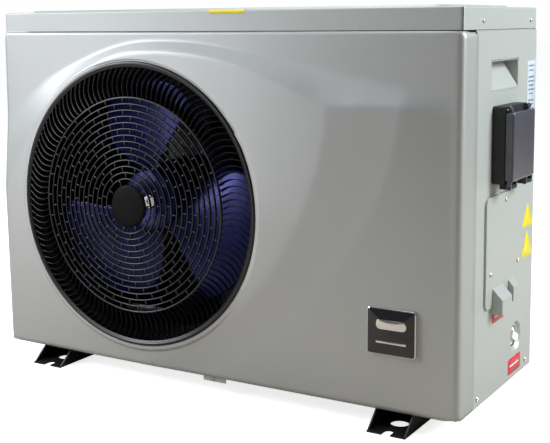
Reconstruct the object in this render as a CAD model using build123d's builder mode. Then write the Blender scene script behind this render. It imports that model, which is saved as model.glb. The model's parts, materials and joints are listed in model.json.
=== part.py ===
"""Pool heat pump: a side-control inverter unit in a coated sheet cabinet on two steel runners.

Origin: on the floor, in the middle of the four runner holes. +Z up, the fan side faces -Y.
Every sub-part is a separate solid, or a group of separate like solids, in its own file.
"""
from build123d import *
import os
from math import cos, radians, sin

os.makedirs("parts", exist_ok=True)

# Driving dimensions of the cabinet, millimetres
WIDTH = 892.0
DEPTH = 340.0
BODY_HEIGHT = 615.0
FOOT_HEIGHT = 30.0
LID_SKIRT = 34.0
LID_GAP = 3.5
LID_RISE = 3.5
SHEET = 1.2
PANEL_WALL = 3.0
FLANGE_REACH = 56.0
GAP = 0.3
CORNER = 6.0

LEFT, RIGHT = -WIDTH / 2, WIDTH / 2
FRONT, BACK = -DEPTH / 2, DEPTH / 2
BOTTOM = FOOT_HEIGHT
TOP = BOTTOM + BODY_HEIGHT
PANEL_TOP = TOP - LID_SKIRT - LID_GAP

# Formed face of the front panel: a field below the crest, and the fan's pad on it
FIELD_RISE = 9.0
PAD_RISE = 13.0
FORM_TAPER = 45
FIELD_EDGE = 16.0
FIELD_CREST = ((WIDTH / 2 - FIELD_EDGE, 462), (150, 528), (-60, 560), (-210, 540),
               (FIELD_EDGE - WIDTH / 2, 420))
PAD_FRONT = FRONT - PAD_RISE
FIELD_FRONT = FRONT - FIELD_RISE

# Fan, grille and motor
FAN_X = -142.4
FAN_Z = BOTTOM + 283.3
GRILLE_R = 248.0
GRILLE_RIM = 10.0
VANE_INNER_R = 186.0
HUB_DISC_R = 36.5
GRILLE_RINGS = 13
DOME_MID = 11.6
DOME_TOP = 19.0
ORIFICE_R = 242.0
PAD_R = ORIFICE_R + 14.0
SHROUD_R = 232.0
FAN_R = 220.0
FAN_HUB_R = 58.0
FAN_HUB_FRONT = -138.0
FAN_HUB_BACK = -82.0
SHAFT_R = 6.0
RUNNING = 0.05
MOTOR_R = 66.0
MOTOR_BACK = 22.0
MOTOR_FRONT = -58.0

# Rooms inside
PARTITION_X = 125.0
PAN_HEIGHT = 26.0
COIL_THICK = 38.0
COIL_BOTTOM = BOTTOM + 12.0
COIL_TOP = TOP - 48.0
COIL_BACK = BACK - 10.0
COIL_LEFT = LEFT + 28.0

# Control box on the right side
BOX_Y0, BOX_Y1 = FRONT + 127.0, FRONT + 237.0
BOX_Z0, BOX_Z1 = BOTTOM + 342.0, BOTTOM + 463.0
BOX_DEPTH = 20.0
COVER_Y0, COVER_Y1 = FRONT + 130.0, FRONT + 234.0
COVER_Z0, COVER_Z1 = BOTTOM + 347.0, BOTTOM + 454.0
COVER_DEPTH = 13.0
HINGE_X = RIGHT + 23.0
HINGE_Z = BOTTOM + 458.5
PIN_R = 1.5
KNUCKLE_R = 4.0

# Right side openings and covers, measured from the front face and the cabinet bottom
HANDLE = (120.0, 245.0, 486.0, 532.0)
SCOOP_WALL = 2.0
SERVICE = (100.0, 270.0, 147.0, 323.0)
SERVICE_WINDOW = (115.0, 255.0, 185.0, 300.0)
SERVICE_LIFT = 3.5
DRAIN_Y, DRAIN_Z = FRONT + 258.0, BOTTOM + 68.0
DRAIN_HOLE_R = 17.5
DRAIN_RING_R = 26.0

# Water side
PORT_X = RIGHT - 100.0
INLET_Z, OUTLET_Z = BOTTOM + 120.0, BOTTOM + 360.0
PIPE_R = 25.1
SOCKET_R = 31.0
SOCKET_LENGTH = 32.0
NUT_R = 40.0
VESSEL_X, VESSEL_Y, VESSEL_R = RIGHT - 100.0, FRONT + 250.0, 62.0

# Compressor
COMP_X, COMP_Y, COMP_R, COMP_HEIGHT = PARTITION_X + 95.0, FRONT + 130.0, 62.0, 260.0
COMP_BASE = BOTTOM + 22.0
TUBE_R = 5.0

# Runners
FOOT_X = 341.0
FOOT_WIDTH = 64.0
FOOT_REACH = 29.0
FOOT_HOLE_R = 15.0
FOOT_HOLE_Y = DEPTH / 2 - 25.0
NOTCH_WIDTH, NOTCH_DEPTH = 15.0, 20.0
FOOT_PLATE = 2.5

# Screws
SCREW_HEAD_R, SCREW_HEAD = 4.2, 2.6
SCREW_R, SCREW_LENGTH = 2.0, 8.0


def export(builder, label):
    """Name the finished piece and write its STEP file."""
    builder.part.label = label
    export_step(builder.part, f"parts/{label}.step")


def slab(x0, x1, y0, y1, z0, z1, mode=Mode.ADD):
    """A box between two corners, added to the open part."""
    centre = ((x0 + x1) / 2, (y0 + y1) / 2, (z0 + z1) / 2)
    with Locations(centre):
        Box(abs(x1 - x0), abs(y1 - y0), abs(z1 - z0), mode=mode)


def rod(start, end, radius, mode=Mode.ADD):
    """A cylinder from one point to another."""
    axis = Vector(*end) - Vector(*start)
    middle = Vector(*start) + axis * 0.5
    with Locations(Plane(origin=middle, z_dir=axis)):
        Cylinder(radius, axis.length, mode=mode)


def tube_run(points, radius, bend):
    """A round pipe along straight runs with tangent bends."""
    with BuildLine() as route:
        FilletPolyline(*points, radius=bend)
    path = route.wires()[0]
    with BuildSketch(Plane(origin=path @ 0, z_dir=path % 0)) as section:
        Circle(radius)
    sweep(section.sketch, path=path)


def screw(origin, direction):
    """A pan-head screw: the head stands out along direction, the shank goes the other way."""
    base = Vector(*origin)
    way = Vector(*direction)
    with Locations(Plane(origin=base + way * (SCREW_HEAD / 2), z_dir=way)):
        Cone(SCREW_HEAD_R, SCREW_HEAD_R * 0.72, SCREW_HEAD)
    with Locations(Plane(origin=base - way * (SCREW_LENGTH / 2), z_dir=way)):
        Cylinder(SCREW_R, SCREW_LENGTH)


# ---------------------------------------------------------------- runners
def make_runner(centre_x, label):
    """Channel of folded steel: a floor flange, two raked webs and two bolting flanges on top."""
    half = FOOT_WIDTH / 2
    reach = DEPTH / 2 + FOOT_REACH
    rake = reach - 36.0
    with BuildPart() as runner:
        slab(centre_x - half, centre_x + half, -reach, reach, 0, FOOT_PLATE)
        with BuildSketch(Plane.XY):
            with Locations((centre_x, -FOOT_HOLE_Y), (centre_x, FOOT_HOLE_Y)):
                Circle(FOOT_HOLE_R)
            with Locations((centre_x, -reach), (centre_x, reach)):
                Rectangle(NOTCH_WIDTH, 2 * NOTCH_DEPTH - NOTCH_WIDTH)
            with Locations((centre_x, -reach + NOTCH_DEPTH - NOTCH_WIDTH / 2),
                           (centre_x, reach - NOTCH_DEPTH + NOTCH_WIDTH / 2)):
                Circle(NOTCH_WIDTH / 2)
        extrude(amount=FOOT_PLATE, mode=Mode.SUBTRACT)
        for side in (-1, 1):
            wall_x = centre_x + side * half
            with BuildSketch(Plane.YZ.offset(wall_x)):
                with BuildLine():
                    Polyline((-reach, 0), (-rake, FOOT_HEIGHT), (rake, FOOT_HEIGHT), (reach, 0), close=True)
                make_face()
            extrude(amount=-side * FOOT_PLATE)
            slab(wall_x, wall_x + side * 14, -rake + 6, rake - 6, FOOT_HEIGHT - FOOT_PLATE, FOOT_HEIGHT)
    export(runner, label)


make_runner(-FOOT_X, "left_foot")
make_runner(FOOT_X, "right_foot")

RUNNER_BOLT_Y = (-120.0, 0.0, 120.0)
with BuildPart() as foot_bolts:
    for runner_x in (-FOOT_X, FOOT_X):
        for bolt_side in (-1, 1):
            for bolt_y in RUNNER_BOLT_Y:
                bolt_x = runner_x + bolt_side * (FOOT_WIDTH / 2 + 7)
                with BuildSketch(Plane.XY.offset(FOOT_HEIGHT - FOOT_PLATE)):
                    with Locations((bolt_x, bolt_y)):
                        RegularPolygon(5.5, 6)
                extrude(amount=-4)
export(foot_bolts, "foot_bolts")

# ---------------------------------------------------------------- base pan
PAN_X = WIDTH / 2 - PANEL_WALL - 1.6
PAN_Y = DEPTH / 2 - PANEL_WALL - 0.6
with BuildPart() as base_pan:
    slab(-PAN_X, PAN_X, -PAN_Y, PAN_Y, BOTTOM, BOTTOM + PAN_HEIGHT)
    slab(-PAN_X + SHEET, PAN_X - SHEET, -PAN_Y + SHEET, PAN_Y - SHEET,
         BOTTOM + SHEET, BOTTOM + PAN_HEIGHT, mode=Mode.SUBTRACT)
    for rail_y in (FRONT + 60.0, FRONT + 90.0):
        slab(LEFT + 60, PARTITION_X - 30, rail_y - 6, rail_y + 6, BOTTOM + SHEET, BOTTOM + 6)
    with BuildSketch(Plane.XY.offset(BOTTOM)):
        with Locations((-300, 60), (0, 60), (-150, 60)):
            Circle(9)
    extrude(amount=SHEET, mode=Mode.SUBTRACT)
export(base_pan, "base_pan")

# ---------------------------------------------------------------- front panel
RIM_BOTTOM = PANEL_TOP - 20.0
RIM_TOP = TOP - 8.0
with BuildPart() as front_panel:
    slab(LEFT, RIGHT, FRONT, FRONT + FLANGE_REACH, BOTTOM, PANEL_TOP)
    fillet(front_panel.edges().filter_by(Axis.Z).group_by(Axis.Y)[0], CORNER)
    slab(LEFT + PANEL_WALL, RIGHT - PANEL_WALL, FRONT + PANEL_WALL, BACK, BOTTOM, PANEL_TOP,
         mode=Mode.SUBTRACT)
    slab(LEFT + 2 * PANEL_WALL, RIGHT - 2 * PANEL_WALL, FRONT + PANEL_WALL, FRONT + 2 * PANEL_WALL,
         RIM_BOTTOM, RIM_TOP)
    for wall, role in ((0.0, Mode.ADD), (PANEL_WALL, Mode.SUBTRACT)):
        front_face = Plane(origin=(0, FRONT + wall, 0), x_dir=(1, 0, 0), z_dir=(0, -1, 0))
        with BuildSketch(front_face) as field:
            with BuildLine():
                Polyline((LEFT + FIELD_EDGE, BOTTOM + FIELD_EDGE),
                         (RIGHT - FIELD_EDGE, BOTTOM + FIELD_EDGE),
                         *[(crest_x, BOTTOM + crest_z) for crest_x, crest_z in FIELD_CREST],
                         close=True)
            make_face()
            if wall > 0:
                offset(amount=-wall)
        extrude(field.sketch, amount=FIELD_RISE, taper=FORM_TAPER, mode=role)
    pad_back = PAD_FRONT + PANEL_WALL
    for radius, start, end, role in ((PAD_R, FRONT, PAD_FRONT, Mode.ADD),
                                     (PAD_R - PANEL_WALL, FRONT + PANEL_WALL, pad_back, Mode.SUBTRACT),
                                     (ORIFICE_R, FRONT + PANEL_WALL, PAD_FRONT, Mode.SUBTRACT)):
        rod((FAN_X, start, FAN_Z), (FAN_X, end, FAN_Z), radius, mode=role)
export(front_panel, "front_panel")

# ---------------------------------------------------------------- side panels
SEAM = FRONT + FLANGE_REACH + 0.6
TONGUE_X = WIDTH / 2 - PANEL_WALL - GAP
RIM_X = WIDTH / 2 - SHEET - 1.0


def side_sheet(side):
    """One folded side sheet: wall, joggled tongue behind the front flange, rear return and top rim."""
    outer = side * WIDTH / 2
    slab(outer - side * SHEET, outer, SEAM, BACK, BOTTOM, PANEL_TOP)
    slab(side * (TONGUE_X - SHEET), side * TONGUE_X, FRONT + 34, SEAM + SHEET, BOTTOM, PANEL_TOP)
    slab(side * (TONGUE_X - SHEET), outer, SEAM, SEAM + SHEET, BOTTOM, PANEL_TOP)
    slab(outer - side * 18, outer, BACK - SHEET, BACK, BOTTOM, PANEL_TOP)
    slab(side * (RIM_X - SHEET), side * RIM_X, SEAM + SHEET, BACK - 4, RIM_BOTTOM, RIM_TOP)
    slab(side * (RIM_X - SHEET), outer, SEAM + SHEET, BACK - 4, RIM_BOTTOM, RIM_BOTTOM + SHEET)


def handle_window(side):
    """The rectangular hole for a lifting recess."""
    y0, y1, z0, z1 = HANDLE
    slab(side * (WIDTH / 2 - 3), side * (WIDTH / 2 + 1), FRONT + y0 - SCOOP_WALL, FRONT + y1 + SCOOP_WALL,
         BOTTOM + z0, BOTTOM + z1 + SCOOP_WALL, mode=Mode.SUBTRACT)


GUARD_Y0, GUARD_Y1 = FRONT + 72.0, BACK - 40.0
GUARD_Z0, GUARD_Z1 = BOTTOM + 60.0, BOTTOM + 470.0
with BuildPart() as left_side_panel:
    side_sheet(-1)
    handle_window(-1)
    slab(LEFT - 1, LEFT + 3, GUARD_Y0, GUARD_Y1, GUARD_Z0, GUARD_Z1, mode=Mode.SUBTRACT)
export(left_side_panel, "left_side_panel")

with BuildPart() as right_side_panel:
    side_sheet(1)
    handle_window(1)
    window_y0, window_y1, window_z0, window_z1 = SERVICE_WINDOW
    slab(RIGHT - 2, RIGHT + 1, FRONT + window_y0, FRONT + window_y1, BOTTOM + window_z0, BOTTOM + window_z1,
         mode=Mode.SUBTRACT)
    rod((RIGHT - 2, (BOX_Y0 + BOX_Y1) / 2, BOX_Z0 + 25), (RIGHT + 1, (BOX_Y0 + BOX_Y1) / 2, BOX_Z0 + 25), 9,
        mode=Mode.SUBTRACT)
    rod((RIGHT - SHEET, DRAIN_Y, DRAIN_Z), (RIGHT, DRAIN_Y, DRAIN_Z), DRAIN_RING_R, mode=Mode.SUBTRACT)
    with BuildSketch(Plane(origin=(RIGHT, DRAIN_Y, DRAIN_Z), x_dir=(0, 1, 0), z_dir=(0, 0, 1))):
        with BuildLine():
            Polyline((DRAIN_RING_R, 0), (DRAIN_HOLE_R + 3, 5), (DRAIN_HOLE_R, 5),
                     (DRAIN_HOLE_R, 5 + SHEET), (DRAIN_HOLE_R + 3.8, 5 + SHEET),
                     (DRAIN_RING_R + 1, SHEET), (DRAIN_RING_R + 1, 0.4), close=True)
        make_face()
    revolve(axis=Axis((RIGHT, DRAIN_Y, DRAIN_Z), (1, 0, 0)))
export(right_side_panel, "right_side_panel")

# ---------------------------------------------------------------- rear panel and coil guard
REAR_Y = BACK - SHEET - GAP
REAR_SPLIT = PARTITION_X - 10.0
with BuildPart() as rear_panel:
    slab(REAR_SPLIT, RIGHT - SHEET - GAP, REAR_Y - SHEET, REAR_Y, BOTTOM, RIM_TOP)
    slab(REAR_SPLIT, REAR_SPLIT + SHEET, REAR_Y - 16, REAR_Y, BOTTOM + PAN_HEIGHT + 1, RIM_TOP)
    slab(LEFT + SHEET + GAP, REAR_SPLIT, REAR_Y - SHEET, REAR_Y, RIM_BOTTOM - 30, RIM_TOP)
    for port_z in (INLET_Z, OUTLET_Z):
        rod((PORT_X, REAR_Y - 4, port_z), (PORT_X, REAR_Y + 1, port_z), 34, mode=Mode.SUBTRACT)
export(rear_panel, "rear_panel")

BAR = 3.0
MESH_PITCH = 27.0
GUARD_FRAME = 14.0
REAR_GUARD = (LEFT + 24.0, REAR_SPLIT - 1.0, BOTTOM + 28.0, RIM_BOTTOM - 31.0)
SIDE_GUARD = (GUARD_Y0 - 12, GUARD_Y1 + 12, GUARD_Z0 - 12, GUARD_Z1 + 12)


def guard_mesh(plane, low_u, high_u, low_v, high_v, thick):
    """A moulded grid: a frame with bars both ways."""
    middle_u, middle_v = (low_u + high_u) / 2, (low_v + high_v) / 2
    count_u = round((high_u - low_u) / MESH_PITCH)
    count_v = round((high_v - low_v) / MESH_PITCH)
    pitch_u = (high_u - low_u - GUARD_FRAME) / count_u
    pitch_v = (high_v - low_v - GUARD_FRAME) / count_v
    with BuildSketch(plane) as grid:
        with Locations((middle_u, middle_v)):
            Rectangle(high_u - low_u, high_v - low_v)
            with GridLocations(pitch_u, pitch_v, count_u, count_v):
                Rectangle(pitch_u - BAR, pitch_v - BAR, mode=Mode.SUBTRACT)
    extrude(grid.sketch, amount=thick)


with BuildPart() as coil_guards:
    guard_mesh(Plane(origin=(0, REAR_Y, 0), x_dir=(1, 0, 0), z_dir=(0, -1, 0)), *REAR_GUARD, 3.0)
    guard_mesh(Plane(origin=(LEFT + SHEET + GAP, 0, 0), x_dir=(0, 1, 0), z_dir=(1, 0, 0)), *SIDE_GUARD, 3.0)
export(coil_guards, "coil_guards")

# ---------------------------------------------------------------- top cover
LID_INSET = 34.0
with BuildPart() as top_cover:
    slab(LEFT, RIGHT, FRONT, BACK, TOP - LID_SKIRT, TOP)
    fillet(top_cover.edges().filter_by(Axis.Z), CORNER)
    fillet(top_cover.edges().group_by(Axis.Z)[-1], 2.5)
    with BuildSketch(Plane.XY.offset(TOP)):
        RectangleRounded(WIDTH - 2 * LID_INSET, DEPTH - 2 * LID_INSET + 16, 24)
    extrude(amount=LID_RISE, taper=50)
    slab(LEFT + SHEET, RIGHT - SHEET, FRONT + SHEET, BACK - SHEET, TOP - LID_SKIRT, TOP - SHEET,
         mode=Mode.SUBTRACT)
    with BuildSketch(Plane.XY.offset(TOP - SHEET)):
        RectangleRounded(WIDTH - 2 * LID_INSET - 2, DEPTH - 2 * LID_INSET + 14, 23)
    extrude(amount=LID_RISE, taper=50, mode=Mode.SUBTRACT)
export(top_cover, "top_cover")

# ---------------------------------------------------------------- screws of the cabinet and motor
CABINET_SCREWS = [(81, 594, 0), (306, 595, 0), (46, 432, 0), (42, 172, 0), (43, 14, 0), (76, 14, 0),
                  (310, 14, 0)]
SERVICE_SCREWS = [(188, 310, SERVICE_LIFT), (120, 201, SERVICE_LIFT), (250, 201, SERVICE_LIFT)]
REAR_SCREW_X = (REAR_SPLIT + 20, 250.0, RIGHT - 30)
CLIP_X = 6.0
with BuildPart() as cabinet_screws:
    for screw_y, screw_z, lift in CABINET_SCREWS + SERVICE_SCREWS:
        screw((RIGHT + lift, FRONT + screw_y, BOTTOM + screw_z), (1, 0, 0))
    for screw_y, screw_z, lift in CABINET_SCREWS:
        screw((LEFT, FRONT + screw_y, BOTTOM + screw_z), (-1, 0, 0))
    for screw_x in REAR_SCREW_X:
        for screw_z in (BOTTOM + 14, PANEL_TOP - 40):
            screw((screw_x, REAR_Y, screw_z), (0, 1, 0))
    screw((CLIP_X, FRONT + 0.6, BOTTOM - 5), (0, -1, 0))
export(cabinet_screws, "cabinet_screws")

# ---------------------------------------------------------------- fan grille and orifice ring
RING_PITCH = (VANE_INNER_R - HUB_DISC_R) / (GRILLE_RINGS + 1)
RING_WIDTH = 3.0
RING_DEEP = 4.0
BAR_BACK = 3.1
BRICK_BARS = 12
VANES = 40
RIM_FRONT = 3.0
SPIGOT = 3.0
BAR_SINK = 0.6


def dome(radius):
    """How far the grille's front surface stands ahead of the panel at a radius."""
    if radius > VANE_INNER_R:
        share = (GRILLE_R - GRILLE_RIM - radius) / (GRILLE_R - GRILLE_RIM - VANE_INNER_R)
        return RIM_FRONT + (DOME_MID - RIM_FRONT) * share
    share = (VANE_INNER_R - radius) / (VANE_INNER_R - HUB_DISC_R)
    return DOME_MID + (DOME_TOP - DOME_MID) * share


with BuildPart() as fan_grille:
    with BuildSketch(Plane(origin=(FAN_X, 0, FAN_Z), x_dir=(1, 0, 0), z_dir=(0, 0, 1))):
        for ring in range(1, GRILLE_RINGS + 2):
            ring_r = HUB_DISC_R + ring * RING_PITCH
            with Locations((ring_r, PAD_FRONT - dome(ring_r) + RING_DEEP / 2)):
                Rectangle(RING_WIDTH, RING_DEEP)
        with Locations((HUB_DISC_R / 2, PAD_FRONT - DOME_TOP + RING_DEEP / 2)):
            Rectangle(HUB_DISC_R, RING_DEEP)
        with BuildLine():
            Polyline((GRILLE_R - GRILLE_RIM, PAD_FRONT - RIM_FRONT),
                     (GRILLE_R - RIM_FRONT, PAD_FRONT - RIM_FRONT),
                     (GRILLE_R, PAD_FRONT - GAP), (ORIFICE_R - GAP, PAD_FRONT - GAP),
                     (ORIFICE_R - GAP, PAD_FRONT + SPIGOT),
                     (GRILLE_R - GRILLE_RIM, PAD_FRONT + SPIGOT), close=True)
        make_face()
    revolve(axis=Axis((FAN_X, 0, FAN_Z), (0, 1, 0)))
    for bar_set, low_r, high_r, lead in ((BRICK_BARS, HUB_DISC_R - 2, VANE_INNER_R - 0.5, 2.0),
                                         (VANES, VANE_INNER_R + 0.5, GRILLE_R - GRILLE_RIM + 1, 4.5)):
        with BuildSketch(Plane(origin=(FAN_X, 0, FAN_Z), x_dir=(1, 0, 0), z_dir=(0, 0, 1))) as bar_side:
            with BuildLine():
                low_y, high_y = PAD_FRONT - dome(low_r), PAD_FRONT - dome(high_r)
                Polyline((low_r, low_y + BAR_SINK), (high_r, high_y + BAR_SINK),
                         (high_r, high_y + BAR_BACK), (low_r, low_y + BAR_BACK), close=True)
            make_face()
        for turn in range(bar_set):
            spoke = extrude(bar_side.sketch, amount=RING_WIDTH / 2, both=True, mode=Mode.PRIVATE)
            add(spoke.rotate(Axis((FAN_X, 0, FAN_Z), (0, 1, 0)), lead + 360 * turn / bar_set))
export(fan_grille, "fan_grille")

SHROUD_WALL = 3.0
SHROUD_LIP = 7.0
SHROUD_NECK = FRONT + 8.0
SHROUD_END = FRONT + 74.0
with BuildPart() as fan_shroud:
    with BuildSketch(Plane(origin=(FAN_X, 0, FAN_Z), x_dir=(1, 0, 0), z_dir=(0, 0, 1))):
        with BuildLine():
            lip_front = PAD_FRONT + PANEL_WALL + GAP
            lip_back = PAD_FRONT + PANEL_WALL + SHROUD_WALL
            lip_low, lip_high = ORIFICE_R + 2, ORIFICE_R + 2 + SHROUD_LIP
            Polyline((SHROUD_R, SHROUD_NECK), (lip_low, lip_front), (lip_high, lip_front),
                     (lip_high, lip_back), (lip_low + 2, lip_back),
                     (SHROUD_R + SHROUD_WALL, SHROUD_NECK + 1), (SHROUD_R + SHROUD_WALL, SHROUD_END),
                     (SHROUD_R, SHROUD_END), close=True)
        make_face()
    revolve(axis=Axis((FAN_X, 0, FAN_Z), (0, 1, 0)))
export(fan_shroud, "fan_shroud")

# ---------------------------------------------------------------- fan and motor
FAN_BLADES = 3
BLADE_LEAN = -16.0
BLADE_START = -12.0
BLADE_SPAN = 80.0
BLADE_THICK = 4.0
FAN_BORE = SHAFT_R
with BuildPart() as fan:
    with BuildSketch(Plane(origin=(FAN_X, FAN_HUB_FRONT, FAN_Z), z_dir=(0, 1, 0))):
        Circle(FAN_HUB_R)
    extrude(amount=FAN_HUB_BACK - FAN_HUB_FRONT)
    for blade in range(FAN_BLADES):
        heading = radians(360 * blade / FAN_BLADES + BLADE_START)
        outward = Vector(cos(heading), 0, sin(heading))
        across = Vector(-sin(heading), 0, cos(heading))
        lean = radians(BLADE_LEAN)
        face_way = Vector(0, 1, 0) * cos(lean) + across * sin(lean)
        blade_plane = Plane(origin=(FAN_X, (FAN_HUB_FRONT + FAN_HUB_BACK) / 2, FAN_Z), x_dir=outward,
                            z_dir=face_way)
        with BuildSketch(blade_plane) as blade_shape:
            with BuildLine():
                tip_arc = CenterArc((0, 0), FAN_R, -BLADE_SPAN / 2, BLADE_SPAN)
                Line(tip_arc @ 1, (0, 0))
                Line((0, 0), tip_arc @ 0)
            make_face()
        extrude(blade_shape.sketch, amount=BLADE_THICK / 2, both=True)
    with BuildSketch(Plane(origin=(FAN_X, FAN_HUB_FRONT + 8, FAN_Z), z_dir=(0, 1, 0))):
        Circle(FAN_HUB_R - 4)
    extrude(amount=-40, mode=Mode.SUBTRACT)
    with BuildSketch(Plane(origin=(FAN_X, FAN_HUB_FRONT - 40, FAN_Z), z_dir=(0, 1, 0))):
        Circle(FAN_BORE)
    extrude(amount=160, mode=Mode.SUBTRACT)
export(fan, "fan")

with BuildPart() as fan_nut:
    with BuildSketch(Plane(origin=(FAN_X, FAN_HUB_FRONT + 8, FAN_Z), z_dir=(0, -1, 0))):
        RegularPolygon(12, 6)
        Circle(SHAFT_R, mode=Mode.SUBTRACT)
    extrude(amount=11)
export(fan_nut, "fan_nut")

with BuildPart() as motor_shaft:
    rod((FAN_X, FAN_HUB_FRONT - 1, FAN_Z), (FAN_X, MOTOR_FRONT + 22, FAN_Z), SHAFT_R)
export(motor_shaft, "motor_shaft")

with BuildPart() as fan_motor:
    rod((FAN_X, MOTOR_FRONT, FAN_Z), (FAN_X, MOTOR_BACK - 4, FAN_Z), MOTOR_R)
    fillet(fan_motor.edges().filter_by(GeomType.CIRCLE), 6)
    rod((FAN_X, MOTOR_FRONT - 5, FAN_Z), (FAN_X, MOTOR_FRONT + 2, FAN_Z), 24)
    for ear in range(4):
        ear_angle = radians(45 + 90 * ear)
        with Locations((FAN_X + 66 * cos(ear_angle), MOTOR_BACK - 6, FAN_Z + 66 * sin(ear_angle))):
            Box(24, 4, 24)
    rod((FAN_X, MOTOR_FRONT - 6, FAN_Z), (FAN_X, MOTOR_FRONT + 24, FAN_Z), SHAFT_R + RUNNING,
        mode=Mode.SUBTRACT)
export(fan_motor, "fan_motor")

STRAP_X = 58.0
with BuildPart() as motor_bracket:
    for strap_side in (-1, 1):
        strap_x = FAN_X + strap_side * STRAP_X
        slab(strap_x - 16, strap_x + 16, MOTOR_BACK, MOTOR_BACK + 2.5, BOTTOM + 2, RIM_BOTTOM + 6)
        slab(strap_x + strap_side * 13.5, strap_x + strap_side * 16, MOTOR_BACK, MOTOR_BACK + 22,
             BOTTOM + 2, RIM_BOTTOM + 6)
    for tie_z in (FAN_Z - 90, FAN_Z + 90):
        slab(FAN_X - STRAP_X, FAN_X + STRAP_X, MOTOR_BACK, MOTOR_BACK + 2.5, tie_z - 12, tie_z + 12)
    slab(FAN_X - STRAP_X - 16, FAN_X + STRAP_X + 16, MOTOR_BACK, BACK - 60,
         RIM_BOTTOM + 6, RIM_BOTTOM + 8)
export(motor_bracket, "motor_bracket")

# ---------------------------------------------------------------- partition and coil
WALL_FRONT = FRONT + 2 * PANEL_WALL + 1
WALL_FLANGE = 14.0
with BuildPart() as partition:
    slab(PARTITION_X, PARTITION_X + SHEET, WALL_FRONT, REAR_Y - 24, BOTTOM + SHEET, RIM_BOTTOM)
    slab(PARTITION_X, PARTITION_X + WALL_FLANGE, WALL_FRONT, WALL_FRONT + SHEET,
         BOTTOM + SHEET, RIM_BOTTOM)
export(partition, "partition")

COIL_END = PARTITION_X - 22.0
COIL_FRONT = FRONT + 84.0
COIL_TUBE_R = 4.8
COIL_TUBE_PITCH = 25.4
COIL_X = COIL_LEFT + COIL_THICK
COIL_Y = COIL_BACK - 10.0
with BuildPart() as evaporator_coil:
    with BuildSketch(Plane.XY.offset(COIL_BOTTOM)):
        with BuildLine():
            Polyline((COIL_END, COIL_Y), (COIL_LEFT, COIL_Y), (COIL_LEFT, COIL_FRONT),
                     (COIL_X, COIL_FRONT), (COIL_X, COIL_Y - COIL_THICK),
                     (COIL_END, COIL_Y - COIL_THICK), close=True)
        coil_face = make_face()
        fillet(coil_face.vertices().sort_by_distance((COIL_LEFT, COIL_Y))[0], 70)
        fillet(coil_face.vertices().sort_by_distance((COIL_X, COIL_Y - COIL_THICK))[0], 32)
    extrude(amount=COIL_TOP - COIL_BOTTOM)
    bend_count = int((COIL_TOP - COIL_BOTTOM - 40) / (2 * COIL_TUBE_PITCH))
    for bend in range(bend_count):
        bend_z = COIL_BOTTOM + 30 + 2 * bend * COIL_TUBE_PITCH
        with Locations(Plane(origin=(COIL_END, COIL_Y - COIL_THICK / 2, bend_z + COIL_TUBE_PITCH / 2),
                             x_dir=(0, 0, 1), z_dir=(0, 1, 0))):
            Torus(COIL_TUBE_PITCH / 2, COIL_TUBE_R)
export(evaporator_coil, "evaporator_coil")

# ---------------------------------------------------------------- compressor set
MOUNT_RADIUS = 82.0
MOUNT_ANGLES = (90, 210, 330)
COMP_PLATE = COMP_BASE + 8.0


def mount_spots():
    """The three places round the compressor where its feet stand."""
    return [(COMP_X + MOUNT_RADIUS * cos(radians(a)), COMP_Y + MOUNT_RADIUS * sin(radians(a)))
            for a in MOUNT_ANGLES]


with BuildPart() as compressor:
    rod((COMP_X, COMP_Y, COMP_PLATE + 2), (COMP_X, COMP_Y, COMP_BASE + COMP_HEIGHT), COMP_R)
    fillet(compressor.edges().filter_by(GeomType.CIRCLE), 22)
    with BuildSketch(Plane.XY.offset(COMP_PLATE)):
        with Locations((COMP_X, COMP_Y)):
            Circle(COMP_R - 14)
        with Locations(*mount_spots()):
            Circle(15)
        make_hull()
        with Locations(*mount_spots()):
            Circle(6, mode=Mode.SUBTRACT)
    extrude(amount=4)
    rod((COMP_X, COMP_Y, COMP_BASE + COMP_HEIGHT - 4), (COMP_X, COMP_Y, COMP_BASE + COMP_HEIGHT + 8), 16)
export(compressor, "compressor")

with BuildPart() as compressor_mounts:
    for spot_x, spot_y in mount_spots():
        rod((spot_x, spot_y, BOTTOM + SHEET), (spot_x, spot_y, COMP_PLATE), 13)
        rod((spot_x, spot_y, COMP_PLATE), (spot_x, spot_y, COMP_PLATE + 7), 5.6)
export(compressor_mounts, "compressor_mounts")

ACC_X = COMP_X + COMP_R + 34.0
ACC_Y = COMP_Y - 30.0
ACC_BASE = COMP_BASE + 46.0
ACC_TOP = ACC_BASE + 170.0
with BuildPart() as accumulator:
    rod((ACC_X, ACC_Y, ACC_BASE), (ACC_X, ACC_Y, ACC_TOP), 27)
    fillet(accumulator.edges().filter_by(GeomType.CIRCLE), 12)
    rod((ACC_X, ACC_Y, ACC_TOP - 2), (ACC_X, ACC_Y, ACC_TOP + 14), 8)
    slab(COMP_X + COMP_R - 4, ACC_X, COMP_Y - 18, COMP_Y - 14, ACC_BASE + 60, ACC_BASE + 90)
    rod((COMP_X, COMP_Y, ACC_BASE + 50), (COMP_X, COMP_Y, ACC_BASE + 100), COMP_R + GAP,
        mode=Mode.SUBTRACT)
export(accumulator, "accumulator")

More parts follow.
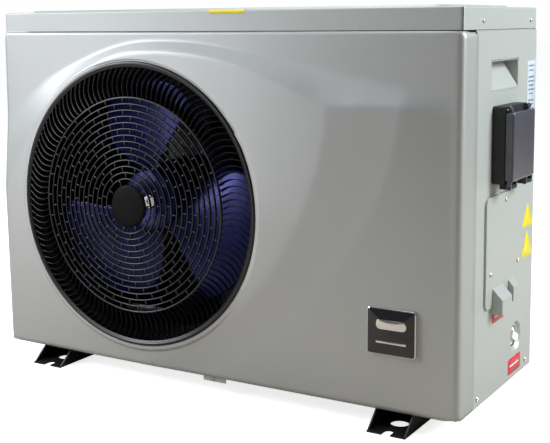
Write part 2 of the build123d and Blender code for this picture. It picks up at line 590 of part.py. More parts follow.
# ---------------------------------------------------------------- heat exchanger and water side
VESSEL_BASE, VESSEL_TOP = BOTTOM + 14.0, BOTTOM + 396.0
ADAPTER_R = 28.0
PORT_BORE_R = 20.0
THREAD_R = 34.0
THREAD_START = BACK + 8.0
THREAD_END = BACK + 22.0
NUT_BACK, NUT_FACE = BACK + 7.0, BACK + 32.0
TAIL_START = THREAD_END + GAP
TAIL_END = BACK + 62.0
NUT_RIBS = 12
NUT_RIB_R = 2.5
with BuildPart() as heat_exchanger:
    rod((VESSEL_X, VESSEL_Y, VESSEL_BASE), (VESSEL_X, VESSEL_Y, VESSEL_TOP), VESSEL_R)
    fillet(heat_exchanger.edges().filter_by(GeomType.CIRCLE), 14)
    slab(VESSEL_X - 50, VESSEL_X + 50, VESSEL_Y - 50, VESSEL_Y + 50, BOTTOM + SHEET, VESSEL_BASE + 16)
    rod((VESSEL_X + VESSEL_R - 20, DRAIN_Y, DRAIN_Z), (RIGHT - 9, DRAIN_Y, DRAIN_Z), DRAIN_HOLE_R)
    rod((RIGHT - 26, DRAIN_Y, DRAIN_Z), (RIGHT - 8, DRAIN_Y, DRAIN_Z), 12 + GAP, mode=Mode.SUBTRACT)
export(heat_exchanger, "heat_exchanger")

with BuildPart() as drain_plug:
    rod((RIGHT - 25, DRAIN_Y, DRAIN_Z), (RIGHT - 7, DRAIN_Y, DRAIN_Z), 12)
    rod((RIGHT - 8.5, DRAIN_Y, DRAIN_Z), (RIGHT - 6, DRAIN_Y, DRAIN_Z), 15)
    with Locations(Location((RIGHT - 3.5, DRAIN_Y, DRAIN_Z), (-28, 0, 0))):
        Box(7, 31, 13)
export(drain_plug, "drain_plug")


with BuildPart() as water_ports:
    for port_z in (INLET_Z, OUTLET_Z):
        rod((PORT_X, VESSEL_Y + 40, port_z), (PORT_X, THREAD_END, port_z), ADAPTER_R)
        rod((PORT_X, THREAD_START, port_z), (PORT_X, THREAD_END, port_z), THREAD_R)
        rod((PORT_X, VESSEL_Y + 30, port_z), (PORT_X, THREAD_END + 1, port_z), PORT_BORE_R,
            mode=Mode.SUBTRACT)
        rod((VESSEL_X, VESSEL_Y, port_z - 60), (VESSEL_X, VESSEL_Y, port_z + 60), VESSEL_R,
            mode=Mode.SUBTRACT)
export(water_ports, "water_ports")


def union_nut(port_z, label):
    """Ribbed nut that turns on the union and clamps the tail piece."""
    with BuildPart() as nut:
        rod((PORT_X, NUT_BACK, port_z), (PORT_X, NUT_FACE, port_z), NUT_R)
        chamfer(nut.edges().filter_by(GeomType.CIRCLE), 2)
        rod((PORT_X, NUT_BACK - 1, port_z), (PORT_X, THREAD_END + 6.6, port_z), THREAD_R + GAP,
            mode=Mode.SUBTRACT)
        rod((PORT_X, THREAD_END, port_z), (PORT_X, NUT_FACE + 1, port_z), SOCKET_R + GAP,
            mode=Mode.SUBTRACT)
        for rib in range(NUT_RIBS):
            rib_angle = radians(360 * rib / NUT_RIBS)
            rib_x = PORT_X + NUT_R * cos(rib_angle)
            rib_z = port_z + NUT_R * sin(rib_angle)
            rod((rib_x, NUT_BACK + 3, rib_z), (rib_x, NUT_FACE - 3, rib_z), NUT_RIB_R)
    export(nut, label)


union_nut(INLET_Z, "inlet_nut")
union_nut(OUTLET_Z, "outlet_nut")

with BuildPart() as union_tails:
    for port_z in (INLET_Z, OUTLET_Z):
        rod((PORT_X, TAIL_START, port_z), (PORT_X, TAIL_START + 6, port_z), THREAD_R)
        rod((PORT_X, TAIL_START, port_z), (PORT_X, TAIL_END, port_z), SOCKET_R)
        rod((PORT_X, TAIL_START - 1, port_z), (PORT_X, TAIL_END, port_z), PORT_BORE_R,
            mode=Mode.SUBTRACT)
        rod((PORT_X, TAIL_END - SOCKET_LENGTH, port_z), (PORT_X, TAIL_END + 1, port_z), PIPE_R,
            mode=Mode.SUBTRACT)
export(union_tails, "union_tails")

# ---------------------------------------------------------------- refrigerant valves and pipes
VALVE_X, VALVE_Y, VALVE_Z = COMP_X + 14.0, FRONT + 62.0, BOTTOM + 372.0
STUB_PITCH = 24.0
STUB_R = TUBE_R + 1.2
with BuildPart() as four_way_valve:
    rod((VALVE_X - 44, VALVE_Y, VALVE_Z), (VALVE_X + 44, VALVE_Y, VALVE_Z), 14)
    fillet(four_way_valve.edges().filter_by(GeomType.CIRCLE), 3)
    rod((VALVE_X, VALVE_Y, VALVE_Z), (VALVE_X, VALVE_Y, VALVE_Z + 26), STUB_R)
    for stub in (-1, 0, 1):
        stub_x = VALVE_X + stub * STUB_PITCH
        rod((stub_x, VALVE_Y, VALVE_Z), (stub_x, VALVE_Y, VALVE_Z - 26), STUB_R)
    slab(VALVE_X - 20, VALVE_X + 20, VALVE_Y - 34, VALVE_Y - 10, VALVE_Z - 9, VALVE_Z + 9)
export(four_way_valve, "four_way_valve")

PIPE_BEND = 16.0
STUB_END = VALVE_Z - 26.0
PIPE_TURN = STUB_END - 24.0
COIL_MIDDLE_Y = COIL_Y - COIL_THICK / 2
with BuildPart() as discharge_pipe:
    tube_run([(COMP_X, COMP_Y, COMP_BASE + COMP_HEIGHT + 8), (COMP_X, COMP_Y, VALVE_Z + 66),
              (VALVE_X, VALVE_Y, VALVE_Z + 66), (VALVE_X, VALVE_Y, VALVE_Z + 26)], TUBE_R, PIPE_BEND)
export(discharge_pipe, "discharge_pipe")

with BuildPart() as suction_pipe:
    tube_run([(VALVE_X, VALVE_Y, STUB_END), (VALVE_X, VALVE_Y, STUB_END - 50),
              (ACC_X, ACC_Y, STUB_END - 50), (ACC_X, ACC_Y, ACC_TOP + 14)], TUBE_R, PIPE_BEND)
export(suction_pipe, "suction_pipe")

with BuildPart() as condenser_pipe:
    tube_run([(VALVE_X + STUB_PITCH, VALVE_Y, STUB_END), (VALVE_X + STUB_PITCH, VALVE_Y, PIPE_TURN),
              (VESSEL_X, VALVE_Y, PIPE_TURN), (VESSEL_X, VALVE_Y, VESSEL_TOP + 30),
              (VESSEL_X, VESSEL_Y, VESSEL_TOP + 30), (VESSEL_X, VESSEL_Y, VESSEL_TOP)], TUBE_R, PIPE_BEND)
export(condenser_pipe, "condenser_pipe")

with BuildPart() as coil_pipe:
    tube_run([(VALVE_X - STUB_PITCH, VALVE_Y, STUB_END), (VALVE_X - STUB_PITCH, VALVE_Y, PIPE_TURN),
              (PARTITION_X + 30, VALVE_Y, PIPE_TURN), (PARTITION_X + 30, COIL_MIDDLE_Y, PIPE_TURN),
              (COIL_END, COIL_MIDDLE_Y, PIPE_TURN)], TUBE_R, PIPE_BEND)
export(coil_pipe, "coil_pipe")

EXV_X, EXV_Y, EXV_Z = PARTITION_X + 44.0, VESSEL_Y + 18.0, BOTTOM + 100.0
with BuildPart() as expansion_valve:
    rod((EXV_X, EXV_Y, EXV_Z - 14), (EXV_X, EXV_Y, EXV_Z + 14), 9)
    rod((EXV_X, EXV_Y, EXV_Z + 14), (EXV_X, EXV_Y, EXV_Z + 50), 19)
    rod((EXV_X - 22, EXV_Y, EXV_Z), (EXV_X + 22, EXV_Y, EXV_Z), STUB_R)
export(expansion_valve, "expansion_valve")

with BuildPart() as liquid_pipes:
    rod((EXV_X + 22, EXV_Y, EXV_Z), (VESSEL_X - 40, EXV_Y, EXV_Z), TUBE_R)
    rod((VESSEL_X, VESSEL_Y, EXV_Z - 20), (VESSEL_X, VESSEL_Y, EXV_Z + 20), VESSEL_R,
        mode=Mode.SUBTRACT)
    tube_run([(EXV_X - 22, EXV_Y, EXV_Z), (PARTITION_X + 8, EXV_Y, EXV_Z),
              (PARTITION_X + 8, COIL_MIDDLE_Y, EXV_Z), (COIL_END, COIL_MIDDLE_Y, EXV_Z)],
             TUBE_R, 6)
export(liquid_pipes, "liquid_pipes")

# ---------------------------------------------------------------- electrical tray
TRAY_X0, TRAY_X1 = PARTITION_X + 12.0, RIGHT - 30.0
TRAY_Y0, TRAY_Y1 = FRONT + 14.0, BACK - 70.0
TRAY_Z0, TRAY_Z1 = BOTTOM + 478.0, BOTTOM + 556.0
with BuildPart() as electrical_tray:
    slab(TRAY_X0, TRAY_X1, TRAY_Y0, TRAY_Y1, TRAY_Z0, TRAY_Z1)
    slab(TRAY_X0 + SHEET, TRAY_X1 - SHEET, TRAY_Y0 + SHEET, TRAY_Y1 - SHEET, TRAY_Z0 + SHEET, TRAY_Z1,
         mode=Mode.SUBTRACT)
export(electrical_tray, "electrical_tray")

BOARD_Z = TRAY_Z0 + 14.0
BOARD_THICK = 1.6
BOARD_PARTS = ((40, 50, 24, 28), (80, 60, 18, 22), (120, 90, 30, 16), (60, 130, 36, 20))
with BuildPart() as inverter_board:
    slab(TRAY_X0 + 14, TRAY_X0 + 174, TRAY_Y0 + 20, TRAY_Y1 - 20, BOARD_Z, BOARD_Z + BOARD_THICK)
    for part_x, part_y, part_w, part_h in BOARD_PARTS:
        slab(TRAY_X0 + part_x, TRAY_X0 + part_x + part_w, TRAY_Y0 + part_y, TRAY_Y0 + part_y + part_w,
             BOARD_Z + BOARD_THICK, BOARD_Z + part_h)
export(inverter_board, "inverter_board")

with BuildPart() as heat_sink:
    slab(TRAY_X0 + 30, TRAY_X0 + 150, TRAY_Y0 + 60, TRAY_Y0 + 160, TRAY_Z0 - 8, TRAY_Z0)
    for fin in range(13):
        fin_x = TRAY_X0 + 34 + 9 * fin
        slab(fin_x, fin_x + 2, TRAY_Y0 + 60, TRAY_Y0 + 160, TRAY_Z0 - 30, TRAY_Z0 - 8)
export(heat_sink, "heat_sink")

TERMINAL_X = TRAY_X1 - 70.0
with BuildPart() as terminal_block:
    slab(TERMINAL_X, TERMINAL_X + 30, TRAY_Y0 + 40, TRAY_Y0 + 180, TRAY_Z0 + SHEET, TRAY_Z0 + 22)
    for pole in range(7):
        pole_y = TRAY_Y0 + 50 + 20 * pole
        rod((TERMINAL_X + 9, pole_y, TRAY_Z0 + 20), (TERMINAL_X + 9, pole_y, TRAY_Z0 + 25), 4)
        rod((TERMINAL_X + 21, pole_y, TRAY_Z0 + 20), (TERMINAL_X + 21, pole_y, TRAY_Z0 + 25), 4)
export(terminal_block, "terminal_block")

# ---------------------------------------------------------------- lifting recesses
SCOOP_DEPTH = 22.0
with BuildPart() as handle_recesses:
    y0, y1, z0, z1 = HANDLE
    for side in (-1, 1):
        for grow, role in ((SCOOP_WALL, Mode.ADD), (0.0, Mode.SUBTRACT)):
            reach = 0.0 if role == Mode.ADD else 1.0
            with BuildSketch(Plane.XZ.offset(-(FRONT + y0 - grow + GAP))) as scoop:
                with BuildLine():
                    Polyline((side * (RIGHT + reach), BOTTOM + z0 + GAP),
                             (side * (RIGHT - 4 - grow), BOTTOM + z0 + 10 - grow),
                             (side * (RIGHT - SCOOP_DEPTH - grow), BOTTOM + z1 - 6),
                             (side * (RIGHT - SCOOP_DEPTH - grow), BOTTOM + z1 + 10 + grow),
                             (side * (RIGHT - SCOOP_DEPTH + 12), BOTTOM + z1 + 10 + grow),
                             (side * (RIGHT - SHEET - GAP), BOTTOM + z1 + grow / 2 - GAP),
                             (side * (RIGHT + reach), BOTTOM + z1 - GAP), close=True)
                make_face()
            extrude(scoop.sketch, amount=-(y1 - y0 + 2 * grow - 2 * GAP), mode=role)
export(handle_recesses, "handle_recesses")

# ---------------------------------------------------------------- service cover with two cable hoods
SERVICE_Y0, SERVICE_Y1 = FRONT + SERVICE[0], FRONT + SERVICE[1]
SERVICE_Z0, SERVICE_Z1 = BOTTOM + SERVICE[2], BOTTOM + SERVICE[3]
SERVICE_CORNER = 12.0
HOOD_A = (131.0, 176.0, 136.0, 179.0, 20.0)
HOOD_B = (205.0, 231.0, 142.0, 178.0, 13.0)


def hood_outline(hood, wall):
    """Side view of a hood: a vertical front and a top that slopes back to the cover."""
    low, high, reach = BOTTOM + hood[2], BOTTOM + hood[3], hood[4]
    return [(RIGHT + SHEET, low - 1 + wall / 2), (RIGHT + SHEET, high - wall),
            (RIGHT + reach - wall, high - reach), (RIGHT + reach - wall, low - 1 + wall / 2)]


with BuildPart() as service_cover:
    middle_y, middle_z = (SERVICE_Y0 + SERVICE_Y1) / 2, (SERVICE_Z0 + SERVICE_Z1) / 2
    for wall, role in ((0.0, Mode.ADD), (SHEET, Mode.SUBTRACT)):
        service_plane = Plane(origin=(RIGHT, middle_y, middle_z), x_dir=(0, 1, 0), z_dir=(1, 0, 0))
        with BuildSketch(service_plane) as lid_face:
            RectangleRounded(SERVICE_Y1 - SERVICE_Y0 - 2 * wall, SERVICE_Z1 - SERVICE_Z0 - 2 * wall,
                             SERVICE_CORNER - wall)
        extrude(lid_face.sketch, amount=SERVICE_LIFT - wall, mode=role)
    for hood in (HOOD_A, HOOD_B):
        with BuildSketch(Plane.XZ.offset(-(FRONT + hood[0]))) as hood_side:
            with BuildLine():
                Polyline(*hood_outline(hood, 0.0), close=True)
            make_face()
        extrude(hood_side.sketch, amount=-(hood[1] - hood[0]))
    for hood in (HOOD_A, HOOD_B):
        with BuildSketch(Plane.XZ.offset(-(FRONT + hood[0] + SHEET))) as hood_room:
            with BuildLine():
                Polyline((RIGHT - 1, BOTTOM + hood[2] - 2), (RIGHT - 1, BOTTOM + hood[3] - 2),
                         (RIGHT + hood[4] - SHEET, BOTTOM + hood[3] - hood[4] - SHEET),
                         (RIGHT + hood[4] - SHEET, BOTTOM + hood[2] - 2), close=True)
            make_face()
        extrude(hood_room.sketch, amount=-(hood[1] - hood[0] - 2 * SHEET), mode=Mode.SUBTRACT)
export(service_cover, "service_cover")

GLAND_SPOTS = (FRONT + 146.0, FRONT + 219.0)
GLAND_Z = BOTTOM + 205.0
GLAND_BORE_R = 6.0
with BuildPart() as cable_glands:
    for gland_y in GLAND_SPOTS:
        with BuildSketch(Plane(origin=(RIGHT - 6, gland_y, GLAND_Z), z_dir=(-1, 0, 0))):
            RegularPolygon(13, 6)
        extrude(amount=10)
        rod((RIGHT - 30, gland_y, GLAND_Z), (RIGHT - 14, gland_y, GLAND_Z), 10)
    slab(RIGHT - 17, RIGHT - 14, FRONT + 128, FRONT + 237, GLAND_Z - 18, GLAND_Z + 18)
    for gland_y in GLAND_SPOTS:
        rod((RIGHT - 31, gland_y, GLAND_Z), (RIGHT, gland_y, GLAND_Z), GLAND_BORE_R, mode=Mode.SUBTRACT)
export(cable_glands, "cable_glands")

# ---------------------------------------------------------------- control box
BOX_Y = (BOX_Y0 + BOX_Y1) / 2
BOX_WALL = 2.6
HEAD_WALL = 9.0
KNUCKLE_Y = 48.0
ARM_Y = 40.0
KNUCKLE_LONG = 7.0
PLATE_X = RIGHT + 13.0
PLATE_THICK = 2.4
with BuildPart() as control_housing:
    slab(RIGHT, RIGHT + BOX_DEPTH, BOX_Y0, BOX_Y1, BOX_Z0, BOX_Z1)
    fillet(control_housing.edges().filter_by(Axis.X), 5)
    slab(RIGHT + BOX_WALL, RIGHT + BOX_DEPTH, BOX_Y0 + BOX_WALL, BOX_Y1 - BOX_WALL,
         BOX_Z0 + BOX_WALL, BOX_Z1 - HEAD_WALL, mode=Mode.SUBTRACT)
    rod((RIGHT, BOX_Y, BOX_Z0 + 25), (RIGHT + BOX_WALL, BOX_Y, BOX_Z0 + 25), 8, mode=Mode.SUBTRACT)
    for side in (-1, 1):
        lug_y = BOX_Y + side * KNUCKLE_Y
        half = KNUCKLE_LONG / 2
        slab(RIGHT + BOX_DEPTH - 2, HINGE_X, lug_y - half, lug_y + half,
             HINGE_Z - KNUCKLE_R, HINGE_Z + KNUCKLE_R)
        rod((HINGE_X, lug_y - half, HINGE_Z), (HINGE_X, lug_y + half, HINGE_Z), KNUCKLE_R)
        rod((HINGE_X, lug_y - half, HINGE_Z), (HINGE_X, lug_y + half, HINGE_Z), PIN_R, mode=Mode.SUBTRACT)
        arm_y = BOX_Y + side * ARM_Y
        rod((HINGE_X, arm_y - half - GAP, HINGE_Z), (HINGE_X, arm_y + half + GAP, HINGE_Z), KNUCKLE_R + 0.6,
            mode=Mode.SUBTRACT)
export(control_housing, "control_housing")

with BuildPart() as hinge_pins:
    for side in (-1, 1):
        rod((HINGE_X, BOX_Y + side * (ARM_Y - 4), HINGE_Z),
            (HINGE_X, BOX_Y + side * (KNUCKLE_Y + 4), HINGE_Z), PIN_R)
export(hinge_pins, "hinge_pins")

KEY_R = 4.5
KEY_LONG = 5.0
KEY_SKIRT = 1.5
SCREEN_Z0, SCREEN_Z1 = BOX_Z0 + 50.0, BOX_Z0 + 104.0
SCREEN_Y0, SCREEN_Y1 = BOX_Y - 40.0, BOX_Y + 40.0
KEYS = {"power_key": (-30, 34), "mode_key": (0, 34), "up_key": (30, 34),
        "timer_key": (-30, 16), "clock_key": (0, 16), "down_key": (30, 16)}
with BuildPart() as key_panel:
    slab(PLATE_X, PLATE_X + PLATE_THICK, BOX_Y0 + BOX_WALL + GAP, BOX_Y1 - BOX_WALL - GAP,
         BOX_Z0 + BOX_WALL + GAP, BOX_Z1 - HEAD_WALL - GAP)
    slab(PLATE_X - 1, PLATE_X + PLATE_THICK + 1, SCREEN_Y0, SCREEN_Y1, SCREEN_Z0, SCREEN_Z1,
         mode=Mode.SUBTRACT)
    for key_y, key_z in KEYS.values():
        rod((PLATE_X - 1, BOX_Y + key_y, BOX_Z0 + key_z),
            (PLATE_X + PLATE_THICK + 1, BOX_Y + key_y, BOX_Z0 + key_z),
            KEY_R + GAP, mode=Mode.SUBTRACT)
export(key_panel, "key_panel")

with BuildPart() as display_screen:
    slab(PLATE_X - 1.5, PLATE_X + PLATE_THICK, SCREEN_Y0 + GAP, SCREEN_Y1 - GAP,
         SCREEN_Z0 + GAP, SCREEN_Z1 - GAP)
export(display_screen, "display_screen")

with BuildPart() as display_board:
    slab(RIGHT + 6, RIGHT + 7.6, BOX_Y - 46, BOX_Y + 46, BOX_Z0 + 8, BOX_Z0 + 106)
export(display_board, "display_board")

for key_name, (key_y, key_z) in KEYS.items():
    with BuildPart() as key:
        spot_y, spot_z = BOX_Y + key_y, BOX_Z0 + key_z
        rod((PLATE_X - KEY_SKIRT, spot_y, spot_z), (PLATE_X + KEY_LONG - 1, spot_y, spot_z), KEY_R)
        chamfer(key.edges().filter_by(GeomType.CIRCLE).sort_by(Axis.X)[-1], 0.6)
        rod((PLATE_X - KEY_SKIRT - 1.2, spot_y, spot_z), (PLATE_X - KEY_SKIRT, spot_y, spot_z), KEY_R + 1)
    export(key, key_name)

COVER_BACK = RIGHT + BOX_DEPTH + 0.4
COVER_FACE = COVER_BACK + COVER_DEPTH
COVER_WALL = 2.2
LATCH_X, LATCH_Z = RIGHT + 27.0, BOTTOM + 337.5
LATCH_Y = 37.5
LATCH_HALF = 11.0
LATCH_THICK = 7.0
LATCH_TIP = RIGHT + 11.0
TRUNNION_R = 1.6
EAR = 3.0
with BuildPart() as control_cover:
    slab(COVER_BACK, COVER_FACE, COVER_Y0, COVER_Y1, COVER_Z0, COVER_Z1)
    fillet(control_cover.edges().filter_by(Axis.X), 4)
    fillet(control_cover.edges().group_by(Axis.X)[-1], 2.5)
    slab(COVER_BACK, COVER_FACE - COVER_WALL, COVER_Y0 + COVER_WALL, COVER_Y1 - COVER_WALL,
         COVER_Z0 + COVER_WALL, COVER_Z1 - COVER_WALL, mode=Mode.SUBTRACT)
    for side in (-1, 1):
        arm_y = BOX_Y + side * ARM_Y
        half = KNUCKLE_LONG / 2
        slab(HINGE_X - 1.6, HINGE_X + KNUCKLE_R, arm_y - half, arm_y + half,
             COVER_Z1 - COVER_WALL, HINGE_Z)
        rod((HINGE_X, arm_y - half, HINGE_Z), (HINGE_X, arm_y + half, HINGE_Z), KNUCKLE_R)
        rod((HINGE_X, arm_y - half, HINGE_Z), (HINGE_X, arm_y + half, HINGE_Z), PIN_R + RUNNING,
            mode=Mode.SUBTRACT)
        for ear_side in (-1, 1):
            ear_y0 = BOX_Y + side * LATCH_Y + ear_side * (LATCH_HALF + GAP)
            ear_y1 = ear_y0 + ear_side * EAR
            slab(LATCH_X - 3.4, LATCH_X + 3.4, ear_y0, ear_y1, LATCH_Z, COVER_Z0 + 1)
            rod((LATCH_X, ear_y0, LATCH_Z), (LATCH_X, ear_y1, LATCH_Z), 3.4)
            rod((LATCH_X, ear_y0, LATCH_Z), (LATCH_X, ear_y1, LATCH_Z), TRUNNION_R + RUNNING,
                mode=Mode.SUBTRACT)
export(control_cover, "control_cover")

for side, latch_name in ((-1, "front_latch"), (1, "rear_latch")):
    latch_y = BOX_Y + side * LATCH_Y
    with BuildPart() as latch:
        near, far = latch_y - LATCH_HALF, latch_y + LATCH_HALF
        slab(LATCH_TIP, LATCH_X, near, far, LATCH_Z + 4 - LATCH_THICK, LATCH_Z + 4)
        rod((LATCH_X, near, LATCH_Z + 0.5), (LATCH_X, far, LATCH_Z + 0.5), LATCH_THICK / 2)
        rod((LATCH_X, near - EAR, LATCH_Z), (LATCH_X, far + EAR, LATCH_Z), TRUNNION_R)
    export(latch, latch_name)

# ---------------------------------------------------------------- badge, clip and labels
BADGE = (300.5, 381.5, 89.0, 162.5)
with BuildPart() as badge:
    badge_x, badge_z = (BADGE[0] + BADGE[1]) / 2, BOTTOM + (BADGE[2] + BADGE[3]) / 2
    with BuildSketch(Plane(origin=(badge_x, FIELD_FRONT, badge_z), x_dir=(1, 0, 0), z_dir=(0, -1, 0))):
        RectangleRounded(BADGE[1] - BADGE[0], BADGE[3] - BADGE[2], 5)
    extrude(amount=2.4)
export(badge, "badge")

with BuildPart() as bottom_clip:
    slab(CLIP_X - 18, CLIP_X + 27, FRONT + 0.6, FRONT + 2, BOTTOM - 10, BOTTOM - 0.1)
    slab(CLIP_X - 18, CLIP_X + 27, FRONT + 0.6, FRONT + 24, BOTTOM - 1.5, BOTTOM - 0.1)
export(bottom_clip, "bottom_clip")

LABEL_THICK = 0.4
RATING_LABEL = (293.0, 336.0, 438.0, 527.0)
PORT_LABELS = ((141.0, 200.0, 117.0, 135.0), (222.0, 285.0, 9.0, 35.0))
TRIANGLES = ((310.0, 246.0, 290.0), (309.0, 195.0, 243.0))
with BuildPart() as side_labels:
    for y0, y1, z0, z1 in (RATING_LABEL, *PORT_LABELS):
        slab(RIGHT, RIGHT + LABEL_THICK, FRONT + y0, FRONT + y1, BOTTOM + z0, BOTTOM + z1)
    for centre_y, low_z, high_z in TRIANGLES:
        with BuildSketch(Plane(origin=(RIGHT, 0, 0), x_dir=(0, 1, 0), z_dir=(1, 0, 0))) as warning:
            with BuildLine():
                Polyline((FRONT + centre_y - 29, BOTTOM + low_z), (FRONT + centre_y + 29, BOTTOM + low_z),
                         (FRONT + centre_y, BOTTOM + high_z), close=True)
            make_face()
        extrude(warning.sketch, amount=LABEL_THICK)
export(side_labels, "side_labels")
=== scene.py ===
"""Looks of the pool heat pump: its formed front panel, fan grille, fan, screws, labels and finishes.

Everything is in metres in the part's own frame: the floor is z = 0 and the fan side faces -Y.
"""
import json
import math

import bmesh
import bpy
import numpy as np
from mathutils import Matrix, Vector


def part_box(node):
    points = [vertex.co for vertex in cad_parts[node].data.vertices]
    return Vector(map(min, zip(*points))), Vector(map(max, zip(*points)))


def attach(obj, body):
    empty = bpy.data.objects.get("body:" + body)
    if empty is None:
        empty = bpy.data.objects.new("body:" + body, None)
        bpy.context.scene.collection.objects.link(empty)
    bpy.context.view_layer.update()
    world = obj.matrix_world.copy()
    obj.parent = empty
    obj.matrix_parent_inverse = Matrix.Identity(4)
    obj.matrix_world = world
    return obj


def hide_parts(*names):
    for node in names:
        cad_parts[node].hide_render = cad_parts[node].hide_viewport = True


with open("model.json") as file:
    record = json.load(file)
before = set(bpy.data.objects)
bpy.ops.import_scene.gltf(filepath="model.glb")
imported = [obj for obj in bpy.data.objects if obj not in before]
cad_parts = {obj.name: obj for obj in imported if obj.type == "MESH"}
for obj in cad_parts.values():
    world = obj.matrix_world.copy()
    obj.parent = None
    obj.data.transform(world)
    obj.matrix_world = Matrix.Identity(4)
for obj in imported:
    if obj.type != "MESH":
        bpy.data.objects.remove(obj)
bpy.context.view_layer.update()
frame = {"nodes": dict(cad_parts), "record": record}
MM = 0.001
# Points of a turned or merged piece that are nearer than this are one point
WELD = 0.0005 * MM

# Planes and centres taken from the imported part
lid_low, lid_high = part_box("top_cover")
grille_low, grille_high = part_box("fan_grille")
FRONT, BACK = lid_low.y, lid_high.y
LEFT, RIGHT = lid_low.x, lid_high.x
CASING_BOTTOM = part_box("right_side_panel")[0].z
CASING_TOP = lid_low.z + 34 * MM
PANEL_TOP = lid_low.z - 3.5 * MM
FAN_X = (grille_low.x + grille_high.x) / 2
FAN_Z = (grille_low.z + grille_high.z) / 2
GRILLE_R = (grille_high.x - grille_low.x) / 2
PAD_FRONT = grille_high.y - 3 * MM


# ------------------------------------------------------------------ colour and nodes
def colour(code):
    """The linear colour of an sRGB hex code: channel c becomes ((c + 0.055) / 1.055)^2.4, or c / 12.92."""
    parts = np.array([int(code[i:i + 2], 16) for i in (1, 3, 5)]) / 255
    linear = np.where(parts > 0.04045, ((parts + 0.055) / 1.055) ** 2.4, parts / 12.92)
    return (*linear, 1.0)


def put(material, kind, inputs=None, **settings):
    """Adds a node, sets its properties, and fills or links its inputs."""
    tree = material.node_tree
    made = tree.nodes.new(kind)
    for name, value in settings.items():
        setattr(made, name, value)
    for socket, value in (inputs or {}).items():
        if isinstance(value, bpy.types.NodeSocket):
            tree.links.new(value, made.inputs[socket])
        else:
            made.inputs[socket].default_value = value
    return made


def begin(name):
    """A node material with no nodes yet."""
    material = bpy.data.materials.new(name)
    material.use_nodes = True
    material.node_tree.nodes.clear()
    return material


def coated(name, base, shade, roughness, metallic=0.0, grain=3.0, depth=0.05, coat=0.0, patch=60.0,
           rough_swing=0.06, specular=0.5):
    """A finish with two scales of unevenness, in millimetres: grain for the bump and patches for the tone.

    Tone = base mixed towards shade by slow noise; roughness = its middle value plus some of the same noise.
    """
    material = begin(name)
    place = put(material, "ShaderNodeTexCoord").outputs["Object"]
    slow = put(material, "ShaderNodeTexNoise", {"Vector": place, "Scale": 1000 / patch, "Detail": 3.0})
    fine = put(material, "ShaderNodeTexNoise", {"Vector": place, "Scale": 1000 / grain, "Detail": 2.0})
    tone = put(material, "ShaderNodeValToRGB", {"Fac": slow.outputs["Fac"]})
    low_stop, high_stop = tone.color_ramp.elements
    low_stop.position, high_stop.position = 0.3, 0.7
    low_stop.color, high_stop.color = colour(shade), colour(base)
    rough = put(material, "ShaderNodeMapRange",
                {"Value": slow.outputs["Fac"], "From Min": 0.3, "From Max": 0.7,
                 "To Min": roughness + rough_swing, "To Max": roughness - rough_swing})
    bump = put(material, "ShaderNodeBump",
               {"Height": fine.outputs["Fac"], "Strength": 0.35, "Distance": depth * MM})
    shader = put(material, "ShaderNodeBsdfPrincipled",
                 {"Base Color": tone.outputs["Color"], "Roughness": rough.outputs["Result"],
                  "Metallic": metallic, "Specular IOR Level": specular, "Coat Weight": coat,
                  "Coat Roughness": 0.12, "Normal": bump.outputs["Normal"]})
    put(material, "ShaderNodeOutputMaterial", {"Surface": shader.outputs["BSDF"]})
    return material


# Silver-grey polyester powder coat on steel: satin, faint orange peel drawn at 3 mm so that it shows
cabinet_powder_coat = coated("cabinet_powder_coat", "#b4b7b3", "#b1b4b0", 0.42, metallic=0.2, grain=3.0,
                             depth=0.05, patch=150.0, rough_swing=0.02)
# The same silver paint on the moulded ABS front, its base a little darker than the cabinet's as painted
# shade: smoother, with a soft clear sheen
front_abs_paint_shaded = coated("front_abs_paint_shaded", "#aeb0ad", "#abadaa", 0.44, metallic=0.35, grain=4.0,
                           depth=0.02, coat=0.15, patch=180.0, rough_swing=0.015)
# Black polyester powder coat on the runners: fine texture, a little dusty
runner_powder_coat = coated("runner_powder_coat", "#151515", "#0d0d0d", 0.45, grain=2.0, depth=0.12)
# Gloss black polypropylene of the grille: clear highlights along every bar
grille_gloss_polypropylene = coated("grille_gloss_polypropylene", "#08080a", "#050506", 0.26, grain=6.0,
                                    depth=0.01)
# Matt black of the grille's middle disc
disc_matt_polypropylene = coated("disc_matt_polypropylene", "#030303", "#020202", 0.55, grain=1.5, depth=0.05,
                                 specular=0.1)
# Deep blue-black glass-filled nylon of the fan: glossy, violet where it catches the light
fan_blue_nylon = coated("fan_blue_nylon", "#25286c", "#1a1c4e", 0.26, metallic=0.5, grain=5.0, depth=0.01)
# Textured black ABS of the control housing and glands: spark-eroded grain of about 1 mm, drawn at 1.5 mm
housing_black_abs = coated("housing_black_abs", "#161619", "#101013", 0.5, grain=1.5, depth=0.12)
# Smoke polycarbonate of the flip-up cover: dark and very glossy
cover_smoke_polycarbonate = coated("cover_smoke_polycarbonate", "#50505c", "#474752", 0.12, grain=8.0,
                                   depth=0.006, coat=1.0, rough_swing=0.02)
# Bright zinc-plated steel screws
screw_zinc_steel = coated("screw_zinc_steel", "#d6d6d2", "#b9b8b2", 0.28, metallic=1.0, grain=0.8, depth=0.03,
                          patch=3.0)
# Hot-dip galvanised sheet: spangle of about 12 mm
galvanised_sheet = coated("galvanised_sheet", "#a9adb0", "#84888c", 0.38, metallic=1.0, grain=12.0,
                          depth=0.02, patch=12.0)
# Drawn copper tube, darkened by handling
drawn_copper_tube = coated("drawn_copper_tube", "#c98a63", "#9a5c3c", 0.32, metallic=1.0, grain=4.0,
                           depth=0.02, patch=25.0)
# Black stoved enamel of the compressor shell
compressor_enamel = coated("compressor_enamel", "#121214", "#0a0a0b", 0.3, grain=3.0, depth=0.05, coat=0.2)
# Dark enamel of the motor shell
motor_enamel = coated("motor_enamel", "#25262a", "#1b1c1f", 0.4, grain=2.5, depth=0.05)
